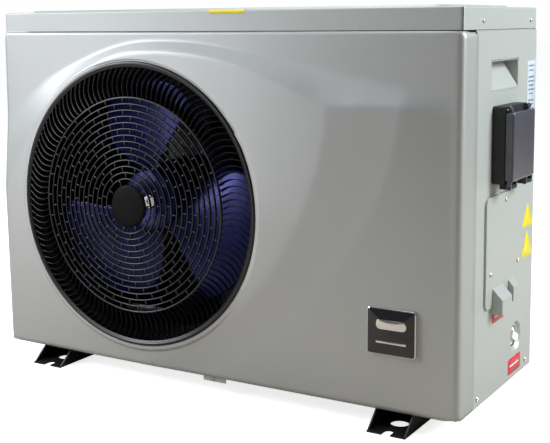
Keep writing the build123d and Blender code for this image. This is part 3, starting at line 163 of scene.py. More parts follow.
# Moulded EPDM rubber of the compressor feet
mount_epdm_rubber = coated("mount_epdm_rubber", "#141414", "#1d1d1c", 0.7, grain=1.5, depth=0.08)
# Grey PVC-U of the heat exchanger and unions: semi-gloss pressure pipe
union_grey_pvc = coated("union_grey_pvc", "#55585c", "#4b4e52", 0.38, grain=4.0, depth=0.03)
# White acetal of the drain plug
drain_white_acetal = coated("drain_white_acetal", "#eeeeea", "#e0e0da", 0.35, grain=3.0, depth=0.02)
# Green glass-epoxy circuit board under solder mask
board_glass_epoxy = coated("board_glass_epoxy", "#1c5a33", "#164a2a", 0.35, grain=1.2, depth=0.05, patch=9.0)
# Liquid crystal display behind its window: grey-green, glassy
display_crystal_glass = coated("display_crystal_glass", "#7d8a74", "#75826d", 0.08, grain=9.0,
                               depth=0.004, coat=1.0)
# Silicone rubber keys: soft grey
key_silicone = coated("key_silicone", "#8c8d90", "#828386", 0.6, grain=1.2, depth=0.03)
# Badge plate of dark lacquered aluminium
badge_dark_lacquer = coated("badge_dark_lacquer", "#232428", "#1b1c1f", 0.22, metallic=0.4, grain=1.0,
                            depth=0.02, coat=0.6)
# Bright chrome of the badge's rim and bars
badge_bright_chrome = coated("badge_bright_chrome", "#e8e8e6", "#dcdcda", 0.1, metallic=1.0, grain=5.0,
                             depth=0.004, rough_swing=0.03)
# Yellow, red, white and pale grey-blue polyester label films under a clear laminate, with flat colour
label_yellow_film = coated("label_yellow_film", "#efe020", "#e8d616", 0.3, grain=6.0, depth=0.01, coat=0.3)
label_red_film = coated("label_red_film", "#d82a42", "#c9243a", 0.3, grain=6.0, depth=0.01, coat=0.3)
label_white_film = coated("label_white_film", "#e9ecee", "#e1e5e8", 0.32, grain=6.0, depth=0.01, coat=0.3)
label_blue_film = coated("label_blue_film", "#c9d2da", "#c1cbd4", 0.34, grain=6.0, depth=0.01, coat=0.3)
# Grey-violet printing ink of the plain lines on the rating film
label_ink = coated("label_ink", "#777c92", "#6c7187", 0.35, grain=4.0, depth=0.005)
# Near-black matt finish of the fan shroud: its own black plastic, drawn darker still as painted shade for the
# dark inside of the casing
shroud_black_and_inner_shade = coated("shroud_black_and_inner_shade", "#0e0e10", "#09090a", 0.55, grain=2.0, depth=0.05)


def finned_aluminium():
    """Coil block: aluminium fins at a pitch of 1.8 mm, drawn at 5 mm so that stripes show on the coil. The
    colour runs from near black, painted shade in the gaps between fins, to dark blue-grey on the fin edges,
    all drawn dark as painted shade inside the casing.
    """
    material = begin("coil_fins_and_gap_shade")
    drawn_pitch = 5.0
    place = put(material, "ShaderNodeTexCoord").outputs["Object"]
    stripes = put(material, "ShaderNodeTexWave",
                  {"Vector": place, "Scale": 1000 / drawn_pitch / 6.283 * 2, "Distortion": 0.3,
                   "Detail": 1.0}, wave_type="BANDS", bands_direction="DIAGONAL")
    tone = put(material, "ShaderNodeValToRGB", {"Fac": stripes.outputs["Fac"]})
    low_stop, high_stop = tone.color_ramp.elements
    # Painted shade: near black for the gaps between fins, dark blue-grey for the fin edges
    low_stop.color, high_stop.color = colour("#10161c"), colour("#33424f")
    bump = put(material, "ShaderNodeBump",
               {"Height": stripes.outputs["Fac"], "Strength": 0.6, "Distance": 1.0 * MM})
    shader = put(material, "ShaderNodeBsdfPrincipled",
                 {"Base Color": tone.outputs["Color"], "Metallic": 0.6, "Roughness": 0.45,
                  "Normal": bump.outputs["Normal"]})
    put(material, "ShaderNodeOutputMaterial", {"Surface": shader.outputs["BSDF"]})
    return material


coil_fins_and_gap_shade = finned_aluminium()

FINISH_OF_SLOT = {
    "cabinet_paint": cabinet_powder_coat, "panel_plastic": front_abs_paint_shaded,
    "runner_paint": runner_powder_coat, "grille_plastic": grille_gloss_polypropylene,
    "fan_plastic": fan_blue_nylon, "black_plastic": housing_black_abs,
    "smoke_cover": cover_smoke_polycarbonate, "screw_steel": screw_zinc_steel, "galvanised": galvanised_sheet,
    "fins": coil_fins_and_gap_shade, "copper": drawn_copper_tube, "compressor_paint": compressor_enamel,
    "motor_shell": motor_enamel, "rubber": mount_epdm_rubber, "vessel_plastic": union_grey_pvc,
    "white_plastic": drain_white_acetal, "board": board_glass_epoxy, "screen": display_crystal_glass,
    "key_rubber": key_silicone, "badge_metal": badge_dark_lacquer, "label_film": label_white_film,
}

for part in frame["record"]["subparts"]:
    shown = frame["nodes"][part["node"]]
    shown.data.materials.clear()
    shown.data.materials.append(FINISH_OF_SLOT[part["material_slot"]])
# The fan shroud takes the near-black finish: painted shade for the dark inside of the casing
frame["nodes"]["fan_shroud"].data.materials[0] = shroud_black_and_inner_shade
# The motor bracket takes the dark motor enamel in place of its own sheet finish: painted shade inside the
# casing
frame["nodes"]["motor_bracket"].data.materials[0] = motor_enamel


# ------------------------------------------------------------------ meshes from arrays
def quads_of_grid(rows, columns, wrap_rows=False, wrap_columns=False):
    """Corner numbers of a grid's squares, each as (i, j), (i, j + 1), (i + 1, j + 1), (i + 1, j)."""
    i = np.arange(rows if wrap_rows else rows - 1)[:, None]
    j = np.arange(columns if wrap_columns else columns - 1)[None, :]
    after_i, after_j = (i + 1) % rows, (j + 1) % columns
    corners = (i * columns + j, i * columns + after_j, after_i * columns + after_j, after_i * columns + j)
    return np.stack(np.broadcast_arrays(*corners), -1).reshape(-1, 4)


def surface(name, points, quads, finish, body, triangles=None, weld=0.0):
    """A piece that rides on a body, from arrays of points, four-cornered faces and three-cornered faces.

    Points nearer to each other than weld become one, which closes seams and poles.
    """
    mesh = bpy.data.meshes.new(name)
    triangles = np.zeros((0, 3), int) if triangles is None else np.asarray(triangles)
    corners = np.concatenate([np.asarray(quads).ravel(), triangles.ravel()])
    sizes = np.repeat([4, 3], [len(quads), len(triangles)])
    mesh.vertices.add(len(points))
    mesh.vertices.foreach_set("co", np.asarray(points, np.float32).ravel())
    mesh.loops.add(len(corners))
    mesh.loops.foreach_set("vertex_index", corners.astype(np.int32))
    mesh.polygons.add(len(sizes))
    mesh.polygons.foreach_set("loop_start", (np.cumsum(sizes) - sizes).astype(np.int32))
    mesh.polygons.foreach_set("loop_total", sizes.astype(np.int32))
    mesh.update(calc_edges=True)
    mesh.validate()
    if weld:
        shape = bmesh.new()
        shape.from_mesh(mesh)
        bmesh.ops.remove_doubles(shape, verts=shape.verts, dist=weld)
        shape.to_mesh(mesh)
        shape.free()
    mesh.polygons.foreach_set("use_smooth", np.full(len(mesh.polygons), True))
    mesh.materials.append(finish)
    made = bpy.data.objects.new(name, mesh)
    bpy.context.scene.collection.objects.link(made)
    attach(made, body)
    return made


def merged(blocks):
    """Several (points, quads, triangles) blocks put end to end as one, with the face numbers moved along."""
    points, quads, triangles, start = [], [], [], 0
    for block_points, block_quads, block_triangles in blocks:
        points.append(block_points)
        quads.append(np.asarray(block_quads) + start)
        triangles.append(np.asarray(block_triangles).reshape(-1, 3) + start)
        start += len(block_points)
    return np.concatenate(points), np.concatenate(quads), np.concatenate(triangles)


def turned_block(profile, turns, close_profile=False):
    """A profile of (radius, y) points turned round the fan's axis: x = radius cos a, z = radius sin a."""
    angle = np.linspace(0, 2 * np.pi, turns, endpoint=False)
    radius, depth = np.asarray(profile, float).T
    x = FAN_X + np.cos(angle)[:, None] * radius
    z = FAN_Z + np.sin(angle)[:, None] * radius
    y = np.broadcast_to(depth, x.shape)
    points = np.stack([x, y, z], -1).reshape(-1, 3)
    return points, quads_of_grid(turns, len(profile), True, close_profile), np.zeros((0, 3), int)


# ------------------------------------------------------------------ front panel
def through(knots, at):
    """Height of a smooth line through the knots: cubics with slopes from each knot's neighbours."""
    x, value = np.array(knots, float).T
    slope = np.gradient(value, x)
    at = np.clip(at, x[0], x[-1])
    k = np.clip(np.searchsorted(x, at) - 1, 0, len(x) - 2)
    gap = x[k + 1] - x[k]
    t = (at - x[k]) / gap
    return ((2 * t**3 - 3 * t**2 + 1) * value[k] + (t**3 - 2 * t**2 + t) * gap * slope[k]
            + (3 * t**2 - 2 * t**3) * value[k + 1] + (t**3 - t**2) * gap * slope[k + 1])


def eased(t):
    """Goes from 0 to 1 with level ends: 3 t^2 - 2 t^3."""
    t = np.clip(t, 0, 1)
    return t * t * (3 - 2 * t)


# The pressed lines of the panel, in millimetres: x from the middle, z above the casing's bottom
CREST_LINE = [(-446, 418), (-356, 488), (-260, 531), (-150, 562), (-60, 565), (55, 553), (180, 529),
              (300, 508), (446, 480)]
SHOULDER_LINE = [(-446, 285), (-380, 400), (-300, 478), (-195, 533), (-100, 545), (-20, 541), (95, 519),
                 (165, 496), (233, 468), (300, 469), (355, 468), (446, 442)]
# The edges of the pad and of the field are read the other way: x at each z
PAD_EDGE = [(0, -139), (23, -84), (61, -12), (118, 57), (168, 111), (229, 154), (286, 186), (339, 209),
            (403, 227), (470, 236)]
FIELD_EDGE = [(0, -40), (31, 46), (65, 92), (107, 145), (153, 195), (206, 242), (262, 283), (323, 316),
              (379, 337), (470, 357)]
# Rises of the panel in millimetres: the pad at the fan's height and above, and the pad's foot
PAD_RISE = 15.0
FOOT_RISE = 7.0
PAD_FULL_Z = 285
PAD_FALL_POWER = 0.85
# The pad's rise grows by this share per half width to the right of the fan
PAD_TILT = 0.3
FAN_MIDDLE_X = -142
HALF_WIDTH = 446
# Right of the pad's edge the rise drops by these shares across the crescent and across the field
CRESCENT_DROP = 0.36
CRESCENT_POWER = 1.4
FIELD_DROP = 0.56
FIELD_END_X = 432


def panel_relief(x, z):
    """How far the panel stands ahead of the lid, in millimetres, at x and z in millimetres.

    Below the crest line it comes forward to the shoulder line. From there the pad round the fan falls away
    towards the bottom with a power of the height, and it rises to the right. Right of its edge the surface
    drops by about a third of that across a crescent, steeply at first, and by over half across the field.
    """
    crest, shoulder = through(CREST_LINE, x), through(SHOULDER_LINE, x)
    pad = FOOT_RISE + (PAD_RISE - FOOT_RISE) * np.clip(z / PAD_FULL_Z, 0.0, 1) ** PAD_FALL_POWER
    pad_edge, field_edge = through(PAD_EDGE, z), through(FIELD_EDGE, z)
    crescent = np.clip((x - pad_edge) / (field_edge - pad_edge), 0, 1)
    field = np.clip((x - field_edge) / (FIELD_END_X - field_edge), 0, 1)
    ridge = pad * (1 + PAD_TILT * (x - FAN_MIDDLE_X) / HALF_WIDTH)
    plateau = ridge * (1 - CRESCENT_DROP * (1 - (1 - crescent) ** CRESCENT_POWER) - FIELD_DROP * field)
    rise = np.clip((crest - z) / (crest - shoulder), 0, 1)
    return plateau * rise


def softened(heights, cell, sigma):
    """Heights on a grid blurred with a bell curve of width sigma, along both ways in turn."""
    reach = int(3 * sigma / cell)
    weight = np.exp(-0.5 * (np.arange(-reach, reach + 1) * cell / sigma) ** 2)
    weight /= weight.sum()
    for axis in (0, 1):
        wide = np.pad(heights, [(reach, reach) if a == axis else (0, 0) for a in (0, 1)], mode="edge")
        size = heights.shape[axis]
        heights = sum(w * np.take(wide, np.arange(k, k + size), axis) for k, w in enumerate(weight))
    return heights


def front_panel():
    """The formed panel: rays from the fan's axis, each with rings from the fan opening to the panel's edge.

    A point on ray a at share v lies at opening + (edge - opening) v, where the edge is a rectangle, and
    stands ahead of the lid by the softened relief. Round the fan it rises to the grille's pad. Past the face
    the rectangle grows by a quarter circle while it turns back, and then runs straight back as flanges.
    """
    cell, blur = 2.0, 2.8
    grid_x = np.arange(-460, 461, cell)
    grid_z = np.arange(-20, 600, cell)
    raster = softened(panel_relief(*np.meshgrid(grid_x, grid_z)), cell, blur)

    def relief(x, z):
        u = np.clip((x / MM - grid_x[0]) / cell, 0, len(grid_x) - 1.001)
        v = np.clip(((z - CASING_BOTTOM) / MM - grid_z[0]) / cell, 0, len(grid_z) - 1.001)
        i, j = v.astype(int), u.astype(int)
        s, t = v - i, u - j
        return ((1 - s) * (1 - t) * raster[i, j] + (1 - s) * t * raster[i, j + 1]
                + s * (1 - t) * raster[i + 1, j] + s * t * raster[i + 1, j + 1]) * MM

    roll = 7 * MM
    opening = GRILLE_R - 5 * MM
    low = np.array([LEFT + roll, CASING_BOTTOM + roll])
    high = np.array([RIGHT - roll, PANEL_TOP - 2 * MM])
    corner = [math.atan2(z - FAN_Z, x - FAN_X) for x, z in
              ((high[0], high[1]), (low[0], high[1]), (low[0], low[1]), (high[0], low[1]))]
    corner[2], corner[3] = corner[2] + 2 * np.pi, corner[3] + 2 * np.pi
    rays_per_side = [90, 110, 90, 130]
    starts = corner + [corner[0] + 2 * np.pi]
    angle = np.concatenate([np.linspace(start, end, rays, endpoint=False)
                            for start, end, rays in zip(starts, starts[1:], rays_per_side)])

    def edge(grow):
        """Distance along each ray from the axis to a rectangle that is larger than the face by grow."""
        reach_x = np.where(np.cos(angle) > 0, high[0] + grow - FAN_X, FAN_X - low[0] + grow)
        top_grow = min(grow, 2 * MM)
        reach_z = np.where(np.sin(angle) > 0, high[1] + top_grow - FAN_Z, FAN_Z - low[1] + grow)
        with np.errstate(divide="ignore"):
            return np.minimum(reach_x / np.abs(np.cos(angle)), reach_z / np.abs(np.sin(angle)))

    face_rings = 78
    share = np.linspace(0, 1, face_rings)
    share = np.concatenate([[0, 0.4 * share[1]], share[1:]])
    radius = opening + (edge(0)[:, None] - opening) * share
    x = FAN_X + np.cos(angle)[:, None] * radius
    z = FAN_Z + np.sin(angle)[:, None] * radius
    ahead = relief(x, z)
    collar = (FRONT - PAD_FRONT) * eased((GRILLE_R + 15 * MM - radius) / (11 * MM))
    ahead = np.maximum(ahead, collar) + 0.4 * MM * np.exp(-((ahead - collar) / (1.5 * MM)) ** 2)
    ahead = np.where(radius < GRILLE_R + 3 * MM, FRONT - PAD_FRONT, ahead)
    y = FRONT - ahead
    rows = [np.stack([x, y, z], -1)]
    face_edge = y[:, -1]
    for turn in np.radians([22.5, 45, 67.5, 90]):
        reach = edge(roll * math.sin(turn))
        ring_x, ring_z = FAN_X + np.cos(angle) * reach, FAN_Z + np.sin(angle) * reach
        rows.append(np.stack([ring_x, face_edge + roll * (1 - math.cos(turn)), ring_z], -1)[:, None])
    on_side = (np.abs(ring_x - RIGHT) < 0.1 * MM) | (np.abs(ring_x - LEFT) < 0.1 * MM)
    back = FRONT + np.where(on_side, 56, 12) * MM
    for part_way in (0.15, 0.4, 0.7, 1.0):
        ring_y = face_edge + roll + (back - face_edge - roll) * part_way
        rows.append(np.stack([ring_x, ring_y, ring_z], -1)[:, None])
    points = np.concatenate(rows, 1)
    quads = quads_of_grid(len(angle), points.shape[1], True)[:, ::-1]
    made = surface("front_panel_formed", points.reshape(-1, 3), quads, front_abs_paint_shaded, "cabinet")
    wall = made.modifiers.new("sheet_wall", "SOLIDIFY")
    wall.thickness, wall.offset = 2.4 * MM, -1
    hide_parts("front_panel")


front_panel()


# ------------------------------------------------------------------ fan grille
HUB_R = 36.5 * MM
VANE_R = GRILLE_R * 0.75
RIM_R = GRILLE_R - 10 * MM
RING_COUNT = 14
RING_PITCH = (VANE_R - HUB_R) / RING_COUNT


def dome(radius):
    """Front of the grille: 3 mm ahead of the pad at the rim, 11.6 mm at the vanes' ends, 19 mm at the hub."""
    return PAD_FRONT - np.interp(radius, [HUB_R, VANE_R, RIM_R], [19 * MM, 11.6 * MM, 3 * MM])


def boxes(frames, half):
    """Closed six-sided bars, one per frame of (centre, along, across, back) rows; half holds half sizes.

    Corner = centre + i along + j across + k back, for i, j and k of -1 and 1.
    """
    signs = np.array([(i, j, k) for i in (-1, 1) for j in (-1, 1) for k in (-1, 1)], float)
    centre, along, across, back = (frames[:, n] for n in range(4))
    offsets = (signs[None, :, 0, None] * (along * half[:, 0:1])[:, None]
               + signs[None, :, 1, None] * (across * half[:, 1:2])[:, None]
               + signs[None, :, 2, None] * (back * half[:, 2:3])[:, None])
    points = (centre[:, None] + offsets).reshape(-1, 3)
    one = np.array([(0, 1, 3, 2), (4, 6, 7, 5), (0, 4, 5, 1), (2, 3, 7, 6), (0, 2, 6, 4), (1, 5, 7, 3)])
    quads = (one[None] + 8 * np.arange(len(centre))[:, None, None]).reshape(-1, 4)
    return points, quads, np.zeros((0, 3), int)


def brick_bars():
    """Short radial bars between neighbouring rings, shifted by half a step from gap to gap like bricks.

    There are 10 in a gap next to the hub, then 15, 20, and 30 in the outer half, all at even angles.
    """
    counts = [10, 10, 15, 15, 15, 20, 20] + [30] * 7
    frames, half = [], []
    for gap, count in enumerate(counts):
        middle = HUB_R + (gap + 0.5) * RING_PITCH
        angle = np.radians(4) + 2 * np.pi * (np.arange(count) + 0.5 * (gap % 2)) / count
        outward = np.stack([np.cos(angle), np.zeros(count), np.sin(angle)], -1)
        sideways = np.stack([-np.sin(angle), np.zeros(count), np.cos(angle)], -1)
        centre = np.array([FAN_X, 0, FAN_Z]) + outward * middle
        centre[:, 1] = dome(middle) + 2.0 * MM
        backward = np.broadcast_to([0.0, 1.0, 0.0], outward.shape)
        frames.append(np.stack([centre, outward, sideways, backward], 1))
        half.append(np.broadcast_to([RING_PITCH / 2, 1.0 * MM, 1.6 * MM], (count, 3)))
    return boxes(np.concatenate(frames), np.concatenate(half))


def vane_blades():
    """The 120 swept vanes: at share s of a vane's length its angle has changed by 7.5 s - 9.8 s^2 degrees.

    Its section is a thin lens 1.8 mm thick whose front edge follows the dome and whose rear edge is level.
    """
    vanes, stations = 120, 12
    s = np.linspace(0, 1, stations)
    radius = VANE_R + (RIM_R + 1 * MM - VANE_R) * s
    bend = np.radians(7.5 * s - 9.8 * s * s)
    angle = 2 * np.pi * np.arange(vanes)[:, None] / vanes + bend
    front = dome(radius)
    rear = np.full(stations, PAD_FRONT + 2 * MM)
    section = [(0.0, 0.0), (0.55, 0.12), (0.9, 0.5), (0.5, 1.0), (-0.5, 1.0), (-0.9, 0.5), (-0.55, 0.12)]
    lean = 2.2 * MM
    rings = []
    for side, back_share in section:
        depth = front + (rear - front) * back_share
        shift = (side * 0.9 * MM - lean * back_share) / radius
        turned = angle + shift
        rings.append(np.stack([FAN_X + radius * np.cos(turned), np.broadcast_to(depth, turned.shape),
                               FAN_Z + radius * np.sin(turned)], -1))
    points = np.stack(rings, 2)
    corner_count = len(section)
    one = quads_of_grid(stations, corner_count, False, True)
    step = stations * corner_count
    quads = (one[None] + step * np.arange(vanes)[:, None, None]).reshape(-1, 4)
    fan_of = np.array([(0, k + 1, k) for k in range(1, corner_count - 1)])
    last = np.array([(0, k, k + 1) for k in range(1, corner_count - 1)]) + (stations - 1) * corner_count
    caps = (np.concatenate([fan_of, last])[None] + step * np.arange(vanes)[:, None, None]).reshape(-1, 3)
    return points.reshape(-1, 3), quads, caps


def fan_grille():
    """Rings, bricks, vanes and rim as one moulding, and the matt middle disc. A ring is a turned bar."""
    blocks = []
    for ring in range(1, RING_COUNT + 1):
        radius = HUB_R + ring * RING_PITCH
        front = float(dome(radius))
        wide = 1.15 * MM if ring < RING_COUNT else 1.6 * MM
        profile = [(radius - wide, front + 4 * MM), (radius - wide, front + 0.8 * MM),
                   (radius - 0.5 * wide, front), (radius + 0.5 * wide, front),
                   (radius + wide, front + 0.8 * MM), (radius + wide, front + 4 * MM)]
        blocks.append(turned_block(profile, 216, True))
    front = float(dome(HUB_R))
    hub = [(0, front), (HUB_R * 0.5, front + 0.15 * MM), (HUB_R * 0.86, front + 0.6 * MM),
           (HUB_R * 0.97, front + 1.5 * MM), (HUB_R, front + 2.8 * MM), (HUB_R, front + 4.6 * MM),
           (0, front + 4.6 * MM)]
    hub_points, hub_quads, _ = turned_block(hub, 96)
    surface("grille_middle_disc", hub_points, hub_quads, disc_matt_polypropylene, "cabinet",
            weld=WELD)
    outer = GRILLE_R
    rim = [(outer - 10.5 * MM, PAD_FRONT + 3 * MM), (outer - 10.5 * MM, PAD_FRONT - 2.6 * MM),
           (outer - 9.6 * MM, PAD_FRONT - 3.6 * MM), (outer - 6.4 * MM, PAD_FRONT - 3.8 * MM),
           (outer - 5.6 * MM, PAD_FRONT - 4.6 * MM), (outer - 4.0 * MM, PAD_FRONT - 5.0 * MM),
           (outer - 1.6 * MM, PAD_FRONT - 4.2 * MM), (outer - 0.3 * MM, PAD_FRONT - 2.4 * MM),
           (outer, PAD_FRONT - 0.3 * MM), (outer - 5.6 * MM, PAD_FRONT - 0.3 * MM),
           (outer - 5.6 * MM, PAD_FRONT + 3 * MM)]
    blocks.append(turned_block(rim, 288, True))
    blocks.append(brick_bars())
    blocks.append(vane_blades())
    points, quads, triangles = merged(blocks)
    made = surface("fan_grille_moulding", points, quads, grille_gloss_polypropylene, "cabinet",
                   triangles, WELD)
    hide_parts("fan_grille")


fan_grille()


# ------------------------------------------------------------------ fan
def fan_rotor():
    """Three swept blades and a hub.

    A blade point at radius r and chord share c lies at the blade's angle plus sweep(r) + (c - 1/2) width(r).
    Its depth is pitch(r) (c - 1/2) less a camber of 7 mm times 1 - (2 c - 1)^2.
    """
    fan_low, fan_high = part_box("fan")
    middle_y = (fan_low.y + fan_high.y) / 2
    tip = (fan_high.z - fan_low.z) / 2 - 0.5 * MM
    hub = 58 * MM
    rows, columns, blades = 26, 30, 3
    r_share = np.linspace(0, 1, rows)[:, None]
    chord = np.linspace(0, 1, columns)[None]
    radius = hub - 4 * MM + (tip - hub + 4 * MM) * r_share
    width = np.radians(64 + 14 * np.sin(np.pi * r_share * 0.9))
    sweep = np.radians(-10 * r_share**2)
    bend = (chord - 0.5) * width + sweep
    tip_round = 1 - 0.10 * np.abs(2 * chord - 1) ** 3 * r_share**2
    depth = (chord - 0.5) * (62 * MM) * (1 - 0.35 * r_share) - 7 * MM * (1 - (2 * chord - 1) ** 2)
    points, quads = [], []
    for blade in range(blades):
        angle = np.radians(-12 + 120 * blade) + bend
        x = FAN_X + radius * tip_round * np.cos(angle)
        z = FAN_Z + radius * tip_round * np.sin(angle)
        points.append(np.stack([x, middle_y + depth, z], -1).reshape(-1, 3))
        quads.append(quads_of_grid(rows, columns) + blade * rows * columns)
    blade_piece = surface("fan_blades_swept", np.concatenate(points), np.concatenate(quads), fan_blue_nylon,
                          "fan_set")
    thick = blade_piece.modifiers.new("blade_thickness", "SOLIDIFY")
    thick.thickness, thick.offset = 3 * MM, 0
    hub_front, hub_back = fan_low.y + 2 * MM, fan_high.y - 2 * MM
    profile = [(7 * MM, hub_back), (7 * MM, hub_front + 8 * MM), (16 * MM, hub_front + 8 * MM),
               (22 * MM, hub_front + 3 * MM), (44 * MM, hub_front), (53 * MM, hub_front + 2 * MM),
               (57 * MM, hub_front + 7 * MM), (hub, hub_front + 14 * MM), (hub, hub_back - 2 * MM),
               (hub - 3 * MM, hub_back)]
    hub_points, hub_quads, _ = turned_block(profile, 72, True)
    surface("fan_hub_turned", hub_points, hub_quads, fan_blue_nylon, "fan_set")
    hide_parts("fan")


fan_rotor()


# ------------------------------------------------------------------ screws
def screw_heads():
    """Pan heads with a cross recess, each a round grid.

    Height = 2.5 mm (1 - 0.6 r^4), less 1.5 mm times the larger of two soft bars across the head.
    """
    side = [(81, 594, 0), (306, 595, 0), (46, 432, 0), (42, 172, 0), (43, 14, 0), (76, 14, 0), (310, 14, 0),
            (188, 310, 3.5), (120, 201, 3.5), (250, 201, 3.5)]
    spots = [((RIGHT + lift * MM, FRONT + y * MM, CASING_BOTTOM + z * MM), (1, 0, 0)) for y, z, lift in side]
    spots += [((LEFT, FRONT + y * MM, CASING_BOTTOM + z * MM), (-1, 0, 0)) for y, z, _ in side[:7]]
    rear_y = BACK - 1.5 * MM
    for x in (0.135, 0.250, RIGHT - 0.030):
        for z in (CASING_BOTTOM + 14 * MM, PANEL_TOP - 40 * MM):
            spots.append(((x, rear_y, z), (0, 1, 0)))
    spots.append(((6 * MM, FRONT + 0.6 * MM, CASING_BOTTOM - 5 * MM), (0, -1, 0)))
    r = np.linspace(0, 1, 13)[:, None]
    a = np.linspace(0, 2 * np.pi, 40, endpoint=False)[None]
    radius = 4.2 * MM
    u, v = r * np.cos(a), r * np.sin(a)
    bars = [eased((0.24 - np.abs(p)) / 0.12) * eased((0.72 - np.abs(q)) / 0.2) for p, q in ((u, v), (v, u))]
    height = 2.5 * MM * (1 - 0.6 * r**4) - 1.5 * MM * np.maximum(*bars)
    blocks = []
    for number, (base, way) in enumerate(spots):
        way = np.array(way, float)
        first = np.cross(way, (0, 0, 1.0))
        first /= np.linalg.norm(first)
        spin = 0.4 + 1.3 * number
        second = np.cross(way, first)
        along = first * math.cos(spin) + second * math.sin(spin)
        across = second * math.cos(spin) - first * math.sin(spin)
        points = (np.array(base) + radius * u[..., None] * along + radius * v[..., None] * across
                  + height[..., None] * way)
        skirt = points[-1] - (height[-1][..., None] + 0.2 * MM) * way
        points = np.concatenate([points, skirt[None]])
        quads = quads_of_grid(len(r) + 1, a.size, False, True)
        blocks.append((points.reshape(-1, 3), quads, np.zeros((0, 3), int)))
    points, quads, _ = merged(blocks)
    made = surface("cabinet_screw_heads", points, quads, screw_zinc_steel, "cabinet")
    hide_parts("cabinet_screws")


screw_heads()


# ------------------------------------------------------------------ plates: labels and badge
def plate(name, outline, depth, plane, base, finish, crown):
    """A flat plate on the cabinet whose outline shrinks by crown millimetres while it rises to its depth.

    outline holds (u, v) in metres; plane gives the directions of u, v and the face; base is its origin.
    """
    outline = np.asarray(outline, float)
    u_way, v_way, out = (np.array(w, float) for w in plane)
    middle = outline.mean(0)
    size = np.abs(outline - middle).max()
    shrink = crown * MM / size
    steps = [(0.0, 0.0), (0.0, 0.6), (0.6, 0.93), (1.0, 1.0)]
    rings = [middle + (outline - middle) * (1 - shrink * s) for s, _ in steps]
    rings.append(middle + (outline - middle) * 0.02)
    heights = [h * depth for _, h in steps] + [depth]
    points = np.stack([np.array(base) + ring[:, :1] * u_way + ring[:, 1:] * v_way + height * out
                       for ring, height in zip(rings, heights)])
    count = len(outline)
    quads = quads_of_grid(len(rings), count, False, True)
    return surface(name, points.reshape(-1, 3), quads, finish, "cabinet")


def rounded(half_u, half_v, radius, centre=(0, 0), corner_points=7):
    """Outline of a rounded rectangle: quarter circles round four corner centres, joined by straight runs."""
    quarter = np.linspace(0, np.pi / 2, corner_points)
    parts = []
    for k, (su, sv) in enumerate(((1, 1), (-1, 1), (-1, -1), (1, -1))):
        a = quarter + k * np.pi / 2
        u = su * (half_u - radius) + radius * np.cos(a)
        v = sv * (half_v - radius) + radius * np.sin(a)
        parts.append(np.stack([u, v], -1))
    return np.concatenate(parts) + np.array(centre)


def rounded_triangle(half_width, height, radius, centre=(0, 0)):
    """Outline of a triangle standing on its base, with arcs of 120 degrees at its corners."""
    inset = half_width - 1.75 * radius
    corners = ((inset, radius, -90), (0, height - 2.1 * radius, 30), (-inset, radius, 150))
    parts = []
    for cu, cv, start in corners:
        a = np.radians(np.linspace(start, start + 120, 8))
        parts.append(np.stack([cu + radius * np.cos(a), cv + radius * np.sin(a)], -1))
    return np.concatenate(parts) + np.array(centre)


SIDE_PLANE = ((0, 1, 0), (0, 0, 1), (1, 0, 0))
FRONT_PLANE = ((1, 0, 0), (0, 0, 1), (0, -1, 0))


def side_labels():
    """Blank films on the right side: a pale rating film, two yellow triangles and two red strips."""
    film, ink = 0.35 * MM, 0.12 * MM
    on_panel, on_film = (RIGHT, FRONT, CASING_BOTTOM), (RIGHT + 0.34 * MM, FRONT, CASING_BOTTOM)
    outline = rounded(21.5 * MM, 44.5 * MM, 2 * MM, (314.5 * MM, 482.5 * MM))
    rating = plate("rating_film", outline, film, SIDE_PLANE, on_panel, label_blue_film, 0.1)
    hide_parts("side_labels")
    lines = ((519, 15), (511, 11), (500, 15), (493, 15), (486, 12), (479, 15), (472, 9), (461, 15), (454, 13),
             (447, 15))
    for row, (height, wide) in enumerate(lines):
        outline = rounded(wide * MM, 1.3 * MM, 0.5 * MM, (314.5 * MM, height * MM), 3)
        plate(f"rating_line_{row}", outline, ink, SIDE_PLANE, on_film, label_ink, 0.05)
    for name, centre_y, low, high in (("upper", 310, 246, 290), ("lower", 309, 195, 243)):
        outline = rounded_triangle(29 * MM, (high - low) * MM, 4 * MM, (centre_y * MM, low * MM))
        plate(f"{name}_triangle_film", outline, film, SIDE_PLANE, on_panel, label_yellow_film,
              0.1)
    for name, y0, y1, z0, z1 in (("inlet", 141, 200, 117, 135), ("outlet", 222, 285, 9, 35)):
        centre = ((y0 + y1) / 2 * MM, (z0 + z1) / 2 * MM)
        outline = rounded((y1 - y0) / 2 * MM, (z1 - z0) / 2 * MM, 2 * MM, centre)
        plate(f"{name}_red_film", outline, film, SIDE_PLANE, on_panel, label_red_film, 0.1)
        outline = rounded((y1 - y0) * 0.36 * MM, 1.6 * MM, 0.6 * MM, centre, 3)
        plate(f"{name}_white_line", outline, ink, SIDE_PLANE, on_film, label_white_film, 0.05)


side_labels()


